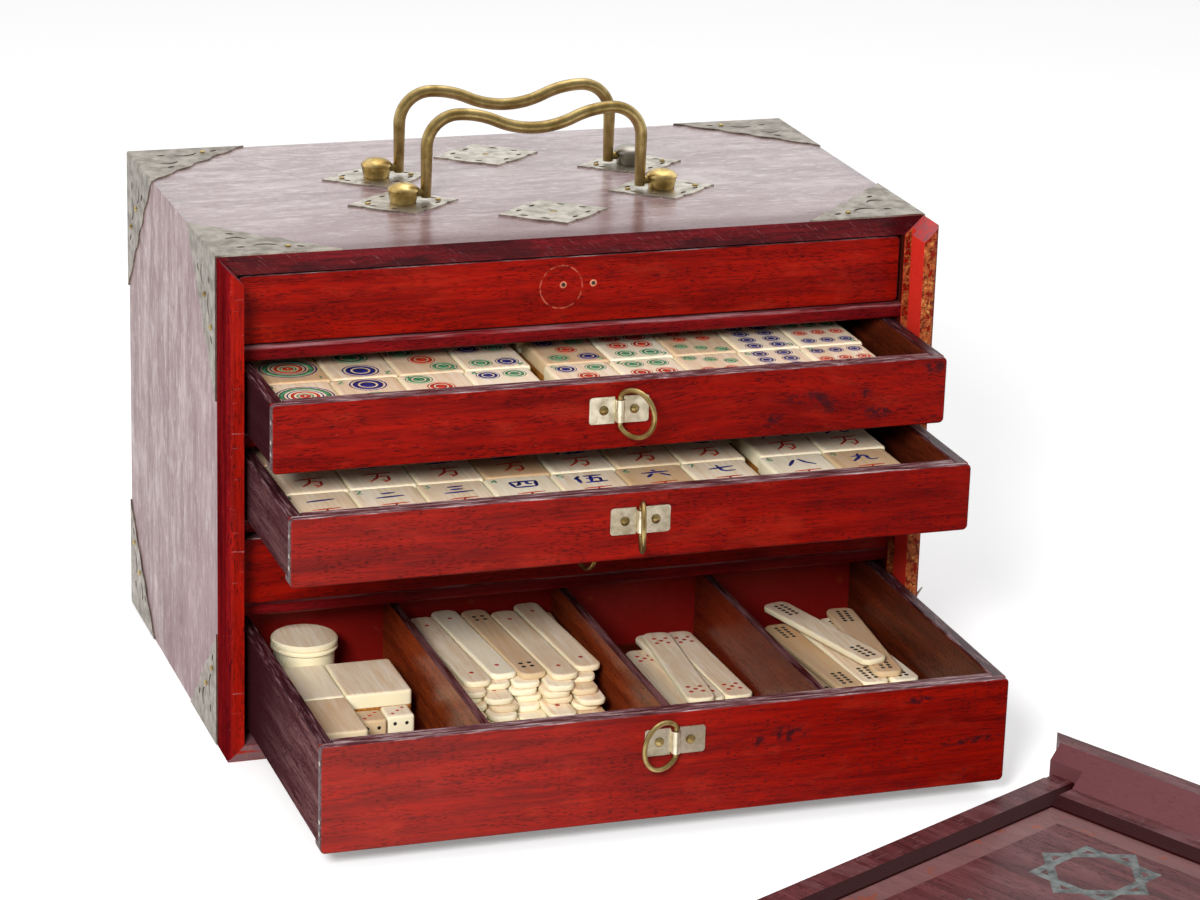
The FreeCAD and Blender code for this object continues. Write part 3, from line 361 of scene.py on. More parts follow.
def front_wood(name, shift, rub=None, smudges=(), arch=0.0, left_sheen=0.0, deep=0.1):
    """Oiled red hardwood of the drawer fronts: worn pale on the rim, dusty end grain.

    rub is the middle of the thin circle that a lost ring has rubbed into the face. smudges are dark
    mineral marks: x, z, half their length and half their height in millimetres. The grain rises to
    an arch round x = 45 mm, by arch millimetres at 40 mm from there. veil is how much pale sheen is
    painted on the left half, painted light where the lamp falls strongest. deep is how much darker
    the whole front is made; a painted shade, where the light falls off, grows on it to the right.
    """
    material, tree = blank(name)
    straight, place, look = facing(tree)
    away = add(tree, "Math", {
        0: add(tree, "Math", {0: place[0], 1: 45 * MM}, operation="SUBTRACT")[0],
        1: 40 * MM}, operation="DIVIDE")[0]
    bent = add(tree, "Math", {0: add(tree, "Math", {0: away, 1: away})[0], 1: 1.0}, operation="MINIMUM")[0]
    lift = add(tree, "Math", {0: bent, 1: arch * MM})[0]
    point = add(tree, "VectorMath", {0: straight, 1: add(tree, "CombineXYZ", {"Z": lift})[0]})[0]
    colour, height = figure(tree, point, "X", RED, shift)
    haze = squeezed(tree, point, "X", 22, 9, shift, 5.0, 0.6)
    colour = tinted(tree, colour, "#a82c1a", haze, 0.52, 0.7, 0.3)
    colour = tinted(tree, colour, "#4c080a", haze, 0.46, 0.3, 0.3)
    # painted light: a pale sheen laid over the left half of the front, fading out to the right
    painted_left_sheen = add(tree, "Math", {
        0: add(tree, "MapRange", {0: place[0], 1: 60 * MM, 2: -116 * MM})[0], 1: left_sheen})[0]
    colour = add(tree, "Mix", {0: painted_left_sheen, 6: colour, 7: "#b07068"})[2]
    # painted shade: the front darkens towards the right, where the light falls off, on top of the even
    # darkening deep
    darkening_and_painted_falloff = add(tree, "Math", {
        0: add(tree, "MapRange", {0: place[0], 1: -60 * MM, 2: 116 * MM, 4: 0.1})[0],
        1: deep}, operation="ADD")[0]
    colour = add(tree, "Mix", {0: darkening_and_painted_falloff, 6: colour, 7: "#4c0406"})[2]
    patch = flaked(tree, straight, 3.5, 0.42, 0.56)
    for x, z, half_length, half_height in smudges:
        local = add(tree, "VectorMath", {0: straight, 1: (x * MM, 0, z * MM)}, operation="SUBTRACT")[0]
        shrunk = add(tree, "VectorMath", {
            0: local, 1: (1000 / half_length, 0, 1000 / half_height)}, operation="MULTIPLY")
        reach = add(tree, "VectorMath", {0: shrunk[0]}, operation="LENGTH")["Value"]
        colour = laid(tree, colour, "#260e14",
            add(tree, "MapRange", {0: reach, 1: 1.3, 2: 0.5, 4: 0.85})[0], patch)
    dust = flaked(tree, straight, 0.8, 0.69, 0.74, shift)
    colour = laid(tree, colour, "#c89a94", dust, 0.55)
    if rub is not None:
        local = add(tree, "VectorMath", {
            0: straight, 1: [c * MM for c in rub]}, operation="DISTANCE")["Value"]
        line = add(tree, "MapRange", {
            0: add(tree, "Math", {
                0: add(tree, "Math", {0: local, 1: LOST_RING[2] * MM}, operation="SUBTRACT")[0]},
                operation="ABSOLUTE")[0], 1: 0.35 * MM, 2: 0.1 * MM})[0]
        colour = laid(tree, colour, "#b05c46",
            add(tree, "Math", {0: line, 1: flaked(tree, point, 2.2, 0.42, 0.56)})[0], 0.75)
    wear = squeezed(tree, point, "X", 14, 1.0, shift, 4.0, 0.75)
    worn = add(tree, "ValToRGB", {
        0: wear}, stops=((0.38, "#3a1216"), (0.64, "#b09c9c"), (0.52, "#6c4448")))[0]
    colour = tinted(tree, colour, worn, look[2], 0.5, 0.85)
    ends = add(tree, "ValToRGB", {0: wear}, stops=((0.35, "#220e12"), (0.62, "#6a5354")))[0]
    colour = tinted(tree, colour, ends, add(tree, "Math", {0: look[0]}, operation="ABSOLUTE")[0], 0.4, 0.8)
    colour = tinted(tree, colour, "#4a1a0e", look[1], 0.4, 0.8)
    colour = tinted(tree, colour, "#2c0c0e", look[2], -0.4, -0.8)
    surface(tree, colour, 0.34, height, 0.15, Specular_IOR_Level=SHEEN)
    return material


def wall_wood(name, shift, front, dust):
    """Stained softer wood of the drawer sides: dusty outside near the front, painted shade outside further
    back, waxed inside.
    """
    material, tree = blank(name)
    point, place, look = facing(tree)
    colour, height = figure(tree, point, "Y", STAINED, shift, 0.7)
    pale, pores = figure(tree, point, "Y", ("#7c5a5a", "#5c3a3c", "#401e22", "#1c0a0e"), shift)
    # painted shade: the outside darkens to near black further back into the case, and all over where dust is
    # low
    painted_shade_further_back = add(tree, "MapRange", {0: place[1], 1: (front + 10) * MM, 2: (front + 90) * MM})[0]
    pale = add(tree, "Mix", {
        0: add(tree, "Math", {0: painted_shade_further_back, 1: 1 - dust}, operation="MAXIMUM")[0], 6: pale, 7: "#2e1216"})[2]
    colour = tinted(tree, colour, pale, outward(tree, place, look), 0.4, 0.8)
    glue = flaked(tree, point, 9.0, 0.62, 0.7)
    back = laid(tree, "#801612", "#a8623a", glue, 0.4)
    colour = tinted(tree, colour, back, look[1], -0.4, -0.8)
    wear = squeezed(tree, point, "Y", 16, 0.9, shift, 5.0, 0.75)
    rim = add(tree, "ValToRGB", {
        0: wear}, stops=((0.38, "#1e0a0e"), (0.66, "#8a6e70"), (0.52, "#401c22")))[0]
    colour = tinted(tree, colour, rim, look[2], 0.35, 0.8)
    shine = add(tree, "Math", {
        0: add(tree, "MapRange", {0: outward(tree, place, look), 1: 0.7, 2: 0.2})[0], 1: SHEEN * 2})[0]
    surface(tree, colour, 0.34, add(tree, "Math", {0: height, 1: pores}, operation="ADD")[0], 0.1,
        Specular_IOR_Level=shine)
    return material


def dusty_wood(name, along):
    """Bleached and dusty outside of the case: pale mauve over red hardwood."""
    material, tree = blank(name)
    point, place, look = facing(tree)
    colour, height = figure(tree, point, along, DUSTY, (3.0, 11.0, 5.0), 0.45)
    haze = squeezed(tree, point, along, 34, 20, (1, 2, 3), 6.0, 0.65)
    mottle = squeezed(tree, point, along, 7, 2.6, (4, 2, 3), 4.0, 0.7)
    colour = tinted(tree, colour, "#74525a", haze, 0.5, 0.66, 0.5)
    colour = tinted(tree, colour, "#c9babb", haze, 0.48, 0.34, 0.45)
    colour = tinted(tree, colour, "#cfc1c1", mottle, 0.52, 0.66, 0.45)
    colour = tinted(tree, colour, "#6c474f", mottle, 0.46, 0.34, 0.45)
    return material, tree, point, place, look, colour, height


def top_wood():
    """Top board: dusty and waxed above, dark purple-red on its front edge, with one old crack."""
    material, tree, point, place, look, colour, height = dusty_wood("dusty_top_wood", "X")
    start, way = CRACK
    local = add(tree, "VectorMath", {0: point, 1: [c * MM for c in start]}, operation="SUBTRACT")[0]
    aside = add(tree, "VectorMath", {0: local, 1: (-way[1], way[0], 0)}, operation="DOT_PRODUCT")["Value"]
    ahead = add(tree, "VectorMath", {0: local, 1: (way[0], way[1], 0)}, operation="DOT_PRODUCT")["Value"]
    wander = add(tree, "Math", {
        0: add(tree, "Math", {0: squeezed(tree, point, "X", 9, 9), 1: 0.5}, operation="SUBTRACT")[0],
        1: 3.0 * MM})[0]
    line = add(tree, "MapRange", {
        0: add(tree, "Math", {
            0: add(tree, "Math", {0: aside, 1: wander}, operation="ADD")[0]}, operation="ABSOLUTE")[0],
        1: 0.5 * MM, 2: 0.1 * MM})[0]
    ends = add(tree, "Math", {
        0: add(tree, "MapRange", {0: ahead, 1: -1 * MM, 2: 2 * MM})[0],
        1: add(tree, "MapRange", {0: ahead, 1: CRACK_LENGTH * MM, 2: 30 * MM})[0]})[0]
    colour = laid(tree, colour, "#4a2a2e", add(tree, "Math", {0: line, 1: ends})[0], 0.8)
    rubbed = add(tree, "Math", {
        0: add(tree, "MapRange", {0: place[0], 1: -117 * MM, 2: -122 * MM})[0],
        1: add(tree, "MapRange", {0: place[0], 1: 119 * MM, 2: 124 * MM})[0]}, operation="MAXIMUM")[0]
    patches = add(tree, "MapRange", {
        0: squeezed(tree, point, "Y", 16, 4, (2, 2, 2), 4.0), 1: 0.42, 2: 0.58})[0]
    colour = laid(tree, colour, "#74696f", add(tree, "Math", {0: rubbed, 1: patches})[0], 0.7)
    clouds = add(tree, "MapRange", {
        0: squeezed(tree, point, "X", 50, 16, (6, 3, 1), 5.0, 0.6), 1: 0.35, 2: 0.65})[0]
    # darker towards the front, in clouds
    front_darkening = add(tree, "Math", {
        0: add(tree, "MapRange", {0: place[1], 1: 5 * MM, 2: -62 * MM})[0],
        1: add(tree, "Math", {0: add(tree, "Math", {0: clouds, 1: 0.6})[0], 1: 0.36}, operation="ADD")[0]})[0]
    colour = add(tree, "Mix", {0: front_darkening, 6: colour, 7: "#6a3c42"})[2]
    rim = add(tree, "MapRange", {
        0: add(tree, "Math", {
            0: place[1], 1: add(tree, "Math", {0: clouds, 1: 8 * MM})[0]}, operation="ADD")[0], 1: -42 * MM,
        2: -56 * MM})[0]
    colour = laid(tree, colour, "#562a2e", rim, 0.75)
    edge = figure(tree, point, "X", ("#6c1218", "#560c12", "#3a070c", "#1c0408"), (2, 5, 9))[0]
    slanted = add(tree, "VectorRotate", {0: point, "Angle": np.radians(-38)}, rotation_type="Y_AXIS")[0]
    scuffs = squeezed(tree, slanted, "X", 6, 0.45, (4, 4, 4), 4.0, 0.7)
    edge = tinted(tree, edge, "#8c5e62", scuffs, 0.58, 0.68, 0.4)
    edge = tinted(tree, edge, "#24060a", squeezed(tree, point, "X", 24, 5, (8, 1, 2)), 0.5, 0.6, 0.6)
    colour = tinted(tree, colour, edge, look[1], -0.4, -0.8)
    colour = tinted(tree, colour, "#3a140e", look[2], -0.4, -0.8)
    unrubbed = add(tree, "Math", {
        0: 1.0, 1: add(tree, "Math", {0: rim, 1: 0.8})[0]}, operation="SUBTRACT")[0]
    waxed = add(tree, "Math", {0: add(tree, "MapRange", {0: look[2], 1: 0.9, 2: 0.99})[0], 1: unrubbed})[0]
    surface(tree, colour, 0.24, height, 0.05,
        Specular_IOR_Level=add(tree, "Math", {0: waxed, 1: 0.1}, operation="ADD")[0])
    return material


def side_wood():
    """Side boards, back and bottom: dusty outside with upright grain, stained inside."""
    material, tree, point, place, look, colour, height = dusty_wood("dusty_side_wood", "Z")
    low = add(tree, "MapRange", {0: place[2], 1: 90 * MM, 2: 5 * MM})[0]
    patch = add(tree, "MapRange", {
        0: squeezed(tree, point, "Z", 30, 14, (6, 6, 6), 5.0), 1: 0.38, 2: 0.6})[0]
    colour = laid(tree, colour, "#7c545a", add(tree, "Math", {0: low, 1: patch})[0], 0.45)
    near = add(tree, "MapRange", {0: place[1], 1: 0, 2: -60 * MM})[0]
    colour = laid(tree, colour, "#80585e", near, 0.3)
    colour = tinted(tree, colour, "#4a160e", outward(tree, place, look), -0.4, -0.8)
    colour = tinted(tree, colour, "#3c100a", look[1], -0.4, -0.8)
    surface(tree, colour, 0.4, height, 0.1, Specular_IOR_Level=0.2)
    return material


def moulding_wood(name, along, glue, dust=0.0):
    """Grooved moulding: red with thin pale scratches, old glue flaked along its lip, and where glued its
    inward faces painted bright red as painted light.
    """
    material, tree = blank(name)
    point, place, look = facing(tree)
    colour, height = figure(tree, point, along, RED, (9, 2, 4))
    dull = figure(tree, point, along, DULL_RED, (9, 2, 4))[0]
    colour = tinted(tree, colour, dull, outward(tree, place, look), 0.3, 0.7)
    scratch = squeezed(tree, point, "X", 16, 0.7, (5, 5, 2), 4.0, 0.7)
    colour = tinted(tree, colour, "#a0686c", scratch, 0.66, 0.7, 0.5)
    grey = add(tree, "MapRange", {
        0: squeezed(tree, point, along, 26, 2.0, (6, 5, 2), 5.0, 0.7), 1: 0.36, 2: 0.5})[0]
    colour = laid(tree, colour, "#665054", grey, dust)
    front = add(tree, "MapRange", {0: look[1], 1: -0.5, 2: -0.9})[0]
    mask = add(tree, "Math", {
        0: add(tree, "Math", {0: flaked(tree, point, 3.0, 0.4, 0.5), 1: front})[0], 1: glue})[0]
    colour = add(tree, "Mix", {0: mask, 6: colour, 7: "#a0502a"})[2]
    colour = laid(tree, colour, "#cf9a52",
        add(tree, "Math", {0: mask, 1: flaked(tree, point, 1.2, 0.54, 0.64)})[0], 0.8)
    colour = laid(tree, colour, "#4a1c12", mask, flaked(tree, point, 1.6, 0.46, 0.38))
    # painted light: faces that look in towards the middle are painted bright red as if lit, as strongly as
    # glue
    painted_lit_inner_faces = add(tree, "Math", {
        0: add(tree, "MapRange", {0: outward(tree, place, look), 1: -0.3, 2: -0.7})[0], 1: glue})[0]
    colour = laid(tree, colour, "#de3428", painted_lit_inner_faces, 0.9)
    top = add(tree, "MapRange", {0: look[2], 1: 0.4, 2: 0.8})[0]
    worn = add(tree, "MapRange", {0: squeezed(tree, point, "X", 20, 2, (5, 1, 2), 4.0), 1: 0.4, 2: 0.6})[0]
    colour = laid(tree, colour, "#7e5055", top,
        add(tree, "Math", {0: add(tree, "Math", {0: worn, 1: 0.55})[0], 1: 0.45}, operation="ADD")[0])
    surface(tree, colour, 0.38,
        add(tree, "Math", {0: height, 1: add(tree, "Math", {0: mask, 1: 3.0})[0]}, operation="ADD")[0],
        0.12,
        Specular_IOR_Level=add(tree, "Math", {
            0: add(tree, "MapRange", {0: outward(tree, place, look), 1: 0.7, 2: 0.3})[0], 1: SHEEN})[0])
    return material


def rail_wood():
    """Round-nosed rails: purple-red, with a painted highlight in pale streaks along the top of the rounding.
    """
    material, tree = blank("rail_wood")
    point, _, look = facing(tree)
    colour, height = figure(tree, point, "X", DULL_RED, (1, 8, 6))
    wear = squeezed(tree, point, "X", 28, 1.2, (2, 2, 7), 5.0, 0.7)
    # painted highlight: the upward part of the rounding is painted pale, in streaks
    worn = add(tree, "Math", {
        0: add(tree, "MapRange", {0: look[2], 1: 0.1, 2: 0.6, 4: 0.8})[0],
        1: add(tree, "MapRange", {0: wear, 1: 0.4, 2: 0.6})[0]})[0]
    colour = add(tree, "Mix", {0: worn, 6: colour, 7: "#94686c"})[2]
    surface(tree, colour, 0.36, height, 0.1, Specular_IOR_Level=SHEEN)
    return material


def dark_wood(name, tones, along, roughness):
    """Stained wood inside the case and the drawers, with a waxed shine."""
    material, tree = blank(name)
    point, place, look = facing(tree)
    colour, height = figure(tree, point, along, tones, (4, 7, 2), 0.6)
    colour = tinted(tree, colour, "#500e0a", place[0], -20 * MM, 40 * MM, 0.6)
    wear = squeezed(tree, point, along, 26, 1.6, (3, 1, 3), 5.0, 0.7)
    rim = add(tree, "ValToRGB", {0: wear}, stops=((0.4, "#2c1014"), (0.66, "#7a565a")))[0]
    colour = tinted(tree, colour, rim, look[2], 0.35, 0.8, 0.85)
    surface(tree, colour, roughness, height, 0.08, Specular_IOR_Level=SHEEN * 3)
    return material


def floor_wood():
    """Drawer bottoms: waxed red-brown wood, scuffed."""
    material, tree = blank("drawer_floor_wood")
    point = facing(tree)[0]
    colour, height = figure(tree, point, "X", ("#722a12", "#58200c", "#401408", "#220a05"), (4, 7, 2), 0.7)
    surface(tree, colour, 0.34, height, 0.08, Specular_IOR_Level=SHEEN * 2)
    return material


def cover_wood(name, tones, cloud, shift):
    """Cover wood laid along its slanted length: dusty purple, with old glue and pale rubs."""
    material, tree = blank(name)
    at = add(tree, "TexCoord")
    turned = add(tree, "VectorRotate", {0: at["Object"], "Angle": np.radians(63.1)}, rotation_type="Z_AXIS")
    point = turned[0]
    look = add(tree, "SeparateXYZ", {0: at["Normal"]})
    colour, height = figure(tree, point, "X", tones, shift)
    clouds = squeezed(tree, point, "X", 40, 12, shift, 5.0, 0.65)
    colour = tinted(tree, colour, cloud, clouds, 0.48, 0.68, 0.55)
    colour = laid(tree, colour, "#a08487", flaked(tree, point, 1.2, 0.67, 0.74), 0.4)
    return material, tree, point, look, colour, height


def cover_frame_wood(name, edge):
    """Dull mauve bars with scratches; edge is the colour of their slanted and upright faces, on the frame
    near black as painted shade in its steps.
    """
    material, tree, point, look, colour, height = cover_wood(
        name, ("#6c3c3e", "#54282a", "#3a1417", "#1c0709"), "#785255", (2, 3, 4))
    scratch = squeezed(tree, point, "Y", 9, 0.6, (5, 5, 2), 4.0, 0.7)
    colour = tinted(tree, colour, "#a88e90", scratch, 0.62, 0.68, 0.4)
    # slanted and upright faces take the edge colour: on the frame that is painted shade
    colour = tinted(tree, colour, edge, look[2], 0.95, 0.84)
    surface(tree, colour, 0.4, height, 0.1, Specular_IOR_Level=SHEEN * 2)
    return material


def cover_panel_wood():
    """Panel: the sunk border is pale with dust and old glue, the slope of its field chalky."""
    material, tree, point, look, colour, height = cover_wood(
        "cover_panel_wood", ("#6a3a3c", "#54282a", "#3c171a", "#1e090b"), "#70484b", (7, 3, 8))
    place = add(tree, "SeparateXYZ", {0: add(tree, "TexCoord")["Object"]})
    sunk = add(tree, "MapRange", {0: place[2], 1: 3.1 * MM, 2: 2.3 * MM})[0]
    colour = laid(tree, colour, "#84605f", sunk, 0.55)
    chalk = squeezed(tree, point, "X", 12, 1.4, (3, 8, 2), 4.0, 0.7)
    colour = laid(tree, colour, "#b4a4a2", add(tree, "MapRange", {0: look[2], 1: 0.99, 2: 0.9, 4: 0.8})[0],
        add(tree, "MapRange", {0: chalk, 1: 0.4, 2: 0.6})[0])
    glue = add(tree, "Math", {0: sunk, 1: flaked(tree, point, 7.0, 0.58, 0.64)})[0]
    colour = laid(tree, colour, "#8c4020", glue, 0.6)
    surface(tree, colour, 0.38, height, 0.1, Specular_IOR_Level=SHEEN * 2)
    return material


def metal(name, tones, roughness, size, depth, shade=0.0, other=None):
    """Old metal: two tones in soft patches, tarnished spots, and painted dark reflection where it turns away.

    other is a second colour that takes the place of the first behind and to the right of the middle.
    """
    light, dark, tarnish_and_dark_reflection = tones
    material, tree = blank(name)
    point, place, _ = facing(tree)
    patches = squeezed(tree, point, "X", size, size, (1, 4, 2), 4.0, 0.6)
    colour = add(tree, "ValToRGB", {0: patches}, stops=((0.36, dark), (0.62, light)))[0]
    if other is not None:
        corner = add(tree, "Math", {
            0: add(tree, "MapRange", {0: place[0], 1: 0, 2: MM})[0],
            1: add(tree, "MapRange", {0: place[1], 1: 5 * MM, 2: 10 * MM})[0]})[0]
        colour = add(tree, "Mix", {0: corner, 6: colour, 7: other})[2]
    spots = flaked(tree, point, size * 0.35, 0.6, 0.74)
    colour = laid(tree, colour, tarnish_and_dark_reflection, spots, 0.6)
    # painted dark reflection: faces seen edge-on darken towards the tarnish colour, as strongly as shade
    rim = add(tree, "LayerWeight", {0: 0.35})["Facing"]
    colour = laid(tree, colour, tarnish_and_dark_reflection, add(tree, "MapRange", {0: rim, 1: 0.35, 2: 0.95})[0], shade)
    rough = add(tree, "MapRange", {
        0: patches, 1: 0.3, 2: 0.7, 3: roughness + 0.12,
        4: roughness - 0.06}, interpolation_type="LINEAR")[0]
    surface(tree, colour, rough, patches, depth, Metallic=1.0)
    return material


def bone(name, bamboo):
    """Bone, cream with faint streaks and a painted highlight on its rounded edges. Below 5 mm it is split
    bamboo.
    """
    material, tree = blank(name)
    point, _, look = facing(tree)
    streaks = squeezed(tree, point, "Y", 22, 1.3, (5, 1, 2), 4.0, 0.6)
    clouds = squeezed(tree, point, "Y", 24, 12, (2, 9, 4), 3.0)
    colour = add(tree, "ValToRGB", {0: streaks}, stops=((0.35, "#ecd0ac"), (0.65, "#fdeed8")))[0]
    colour = laid(tree, colour, "#e0bc98", add(tree, "MapRange", {0: clouds, 1: 0.45, 2: 0.68})[0], 0.35)
    # painted highlight: faces that turn from straight up, the rounded edges, are painted paler
    colour = tinted(tree, colour, "#f7ecc8", look[2], 0.97, 0.6)
    shade = add(tree, "Attribute", attribute_name="shade")["Fac"]
    colour = tinted(tree, colour, "#c08c50", shade, 0.1, 1.6)
    colour = tinted(tree, colour, "#fff4da", shade, -0.1, -1.6)
    if bamboo:
        layer = add(tree, "Attribute", attribute_name="depth")["Fac"]
        fibres = squeezed(tree, point, "Y", 30, 0.7, (1, 1, 1), 3.0)
        wood = add(tree, "ValToRGB", {0: fibres}, stops=((0.35, "#8e4e1a"), (0.65, "#c98a3c")))[0]
        colour = tinted(tree, colour, wood, layer, -BONE_LAYER * 1.0 + 0.15, -BONE_LAYER - 0.15)
    surface(tree, colour, 0.3, streaks, 0.02, Subsurface_Weight=0.12,
            Subsurface_Radius=(0.004, 0.0025, 0.0015))
    return material


def paint(name, light, dark):
    """Paint rubbed into cut marks: thin and uneven."""
    material, tree = blank(name)
    point = facing(tree)[0]
    thin = squeezed(tree, point, "X", 2.4, 2.4, (3, 1, 2), 4.0)
    colour = add(tree, "ValToRGB", {0: thin}, stops=((0.35, dark), (0.65, light)))[0]
    surface(tree, colour, 0.5, thin, 0.02)
    return material


# Where the crack in the top board starts, and which way it runs
CRACK = ((-90.0, 61.5, HEIGHT), (0.502, -0.865))
CRACK_LENGTH = 52.0
# Mineral marks of each front: x, down from its top, half their length, half their height
SMUDGES = {2: ((55, -17, 3, 2), (67, -10.7, 8, 2.4), (74, -14.3, 5, 2.4), (86, -10.7, 5, 2),
               (92, -17.5, 6, 2.4), (112, -3, 4, 2.5)),
           5: ((39.6, -11.4, 7, 3.4), (29, -13, 2.6, 1.8), (103, -20.5, 14, 1.6), (85, -4.5, 6, 1.4))}
# How much darker each front is made all over, under the painted shade to its right, and where its grain is
# cut from the plank
DEEP = {1: 0.05, 2: 0.17, 3: 0.14, 4: 0.18, 5: 0.13}
SHIFTS = {1: (0, 0, 0), 2: (3, 1, 7), 3: (8, 4, 2), 4: (1, 9, 5), 5: (6, 2, 3)}
# Woods: dust outside, oil on the fronts, stain inside
top_wood_finish = top_wood()
side_wood_finish = side_wood()
rail_finish = rail_wood()
runner_finish = dark_wood("runner_wood", STAINED, "Y", 0.5)
divider_finish = dark_wood("divider_wood", ("#9a4520", "#7e3416", "#5a200d", "#2c0e06"), "Y", 0.26)
floor_finish = floor_wood()
# Nickel sheet: a soft grey shine, warm where rubbed and dark in the piercings, with painted dark reflection
# where it turns away
nickel = metal("dull_nickel_sheet", ("#d2cbbe", "#a39b8d", "#544c40"), 0.34, 4.5, 0.05, 0.35)
# the pulls: rubbed nickel, lighter and yellower, lifted further as painted light for the lamp it doesn't
# mirror
pull_nickel = metal("rubbed_and_painted_lit_nickel_sheet", ("#f2e8cf", "#c4b899", "#665b44"), 0.32, 4.5, 0.05, 0.35)
corner_nickel = metal("tarnished_nickel_sheet", ("#a49a8c", "#7c7367", "#3c352c"), 0.34, 5.0, 0.05, 0.35)
# Brass wire and knobs: olive gold, tarnished in spots, with painted dark reflection where it turns away and
# tones lifted as painted light, the knobs most; one white knob at the back
brass = metal("aged_brass", ("#bfa76f", "#907744", "#302310"), 0.36, 7.0, 0.02, 0.9)
post_brass = metal("aged_painted_lit_brass_and_one_nickel_post", ("#e1c482", "#ae8f51", "#3a2b14"), 0.32, 5.0, 0.05, 0.8,
                   "#a09a90")
# Inlay: flat blue-grey metal, flush with the panel
inlay_metal = metal("inlaid_grey_metal", ("#6f7472", "#4c504e", "#343836"), 0.42, 4.0, 0.04)
# Bone: cream with fine streaks and a little light inside it, on yellow bamboo for the tiles
bone_finish = bone("polished_bone", False)
tile_finish = bone("bone_on_bamboo", True)
# Paint: matt, thin and slightly uneven
navy = paint("navy_paint", "#262c86", "#141850")
green = paint("green_paint", "#5c9c72", "#3a7854")
red = paint("red_paint", "#d23c22", "#aa2614")
black = paint("black_paint", "#2a2622", "#121010")
chipped = paint("chipped_pale_wood", "#d08a68", "#a0503a")

finishes = {"left_side": side_wood_finish, "right_side": side_wood_finish, "back_board": side_wood_finish,
            "bottom_board": side_wood_finish, "top_board": top_wood_finish,
            # moulding numbers: grain direction, glue, which also paints light on the inner faces, and dust
            "left_moulding": moulding_wood("left_moulding_wood", "Z", 0.0),
            "right_moulding": moulding_wood("right_moulding_wood", "Z", 0.9),
            "bottom_moulding": moulding_wood("bottom_moulding_wood", "X", 0.1, 0.92),
            "drawer_runners": runner_finish, "drawer_5_dividers": divider_finish,
            "bottom_corner_mounts": corner_nickel, "handle_plates": nickel, "centre_plates": nickel,
            "handle_posts": post_brass, "front_bail": brass, "back_bail": brass,
            # the frame's near-black edge colour is painted shade in its steps
            "cover_frame": cover_frame_wood("cover_frame_wood", "#2a080a"), "cover_panel": cover_panel_wood(),
            "cover_top_bar": cover_frame_wood("cover_bar_wood", "#62393c"), "cover_inlay": inlay_metal,
            "bone_box": bone_finish}
for number, shift in SHIFTS.items():
    low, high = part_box("drawer_%d_front" % number)
    lost_ring = (LOST_RING[0], low[1] / MM, high[2] / MM - LOST_RING[1]) if number == 1 else None
    smudges = [(x, high[2] / MM + z, length, height) for x, z, length, height in SMUDGES.get(number, ())]
    # arch of drawer 2, painted sheen on the left of drawers 3 and 5, and the darkening of each front
    finishes["drawer_%d_front" % number] = front_wood("front_wood_%d" % number, shift, lost_ring, smudges,
                                                      5.0 if number == 2 else 0.0,
                                                      {3: 0.05, 5: 0.1}.get(number, 0.0), DEEP[number])
    # last number: how much of each drawer's outside keeps its dusty colour; the rest is painted shade
    finishes["drawer_%d_walls" % number] = wall_wood("wall_wood_%d" % number, shift, low[1] / MM,
                                                     {2: 0.05, 3: 0.6, 5: 1.0}.get(number, 0.2))
    finishes["drawer_%d_bottom" % number] = floor_finish
for number in range(1, 5):
    finishes["rail_%d" % number] = rail_finish
for number in range(2, 6):
    finishes["drawer_%d_pull" % number] = pull_nickel
    finishes["drawer_%d_ring" % number] = brass
for name in ("front_left", "front_right", "back_left", "back_right"):
    finishes["top_mount_" + name] = corner_nickel
for name, finish in finishes.items():
    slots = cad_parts[name].data.materials
    slots.clear()
    slots.append(finish)


# ---- tiles --------------------------------------------------------------------------------
def tile_places(node, before):
    """Middle of each tile's underside, in rows from the front, from the box that holds them.

    before is how many tiles of a row stand to the left of its break.
    """
    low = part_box(node)[0]
    row, column = np.meshgrid(np.arange(TILE_ROWS), np.arange(TILE_COLUMNS), indexing="ij")
    slid = TILE_BREAK * (column >= before) + TILE_STAGGER * (row % 2)
    x = low[0] / MM + TILE[0] / 2 + column * TILE_STEP[0] + slid
    y = low[1] / MM + TILE[1] / 2 + row * TILE_STEP[1]
    return np.stack([x, y, np.full(x.shape, low[2] / MM)], -1)


dot_places = tile_places("dot_tiles", 4)
character_places = tile_places("character_tiles", 7)
for name, places, body in (("dot_tile_blocks", dot_places, "drawer_2"),
                           ("character_tile_blocks", character_places, "drawer_3")):
    node = name.replace("_tile_blocks", "_tiles")
    slabs(name, TILE, 1.6, 1.1, places.reshape(-1, 3), np.zeros(TILE_ROWS * TILE_COLUMNS), tile_finish,
          body, "bone", [node])

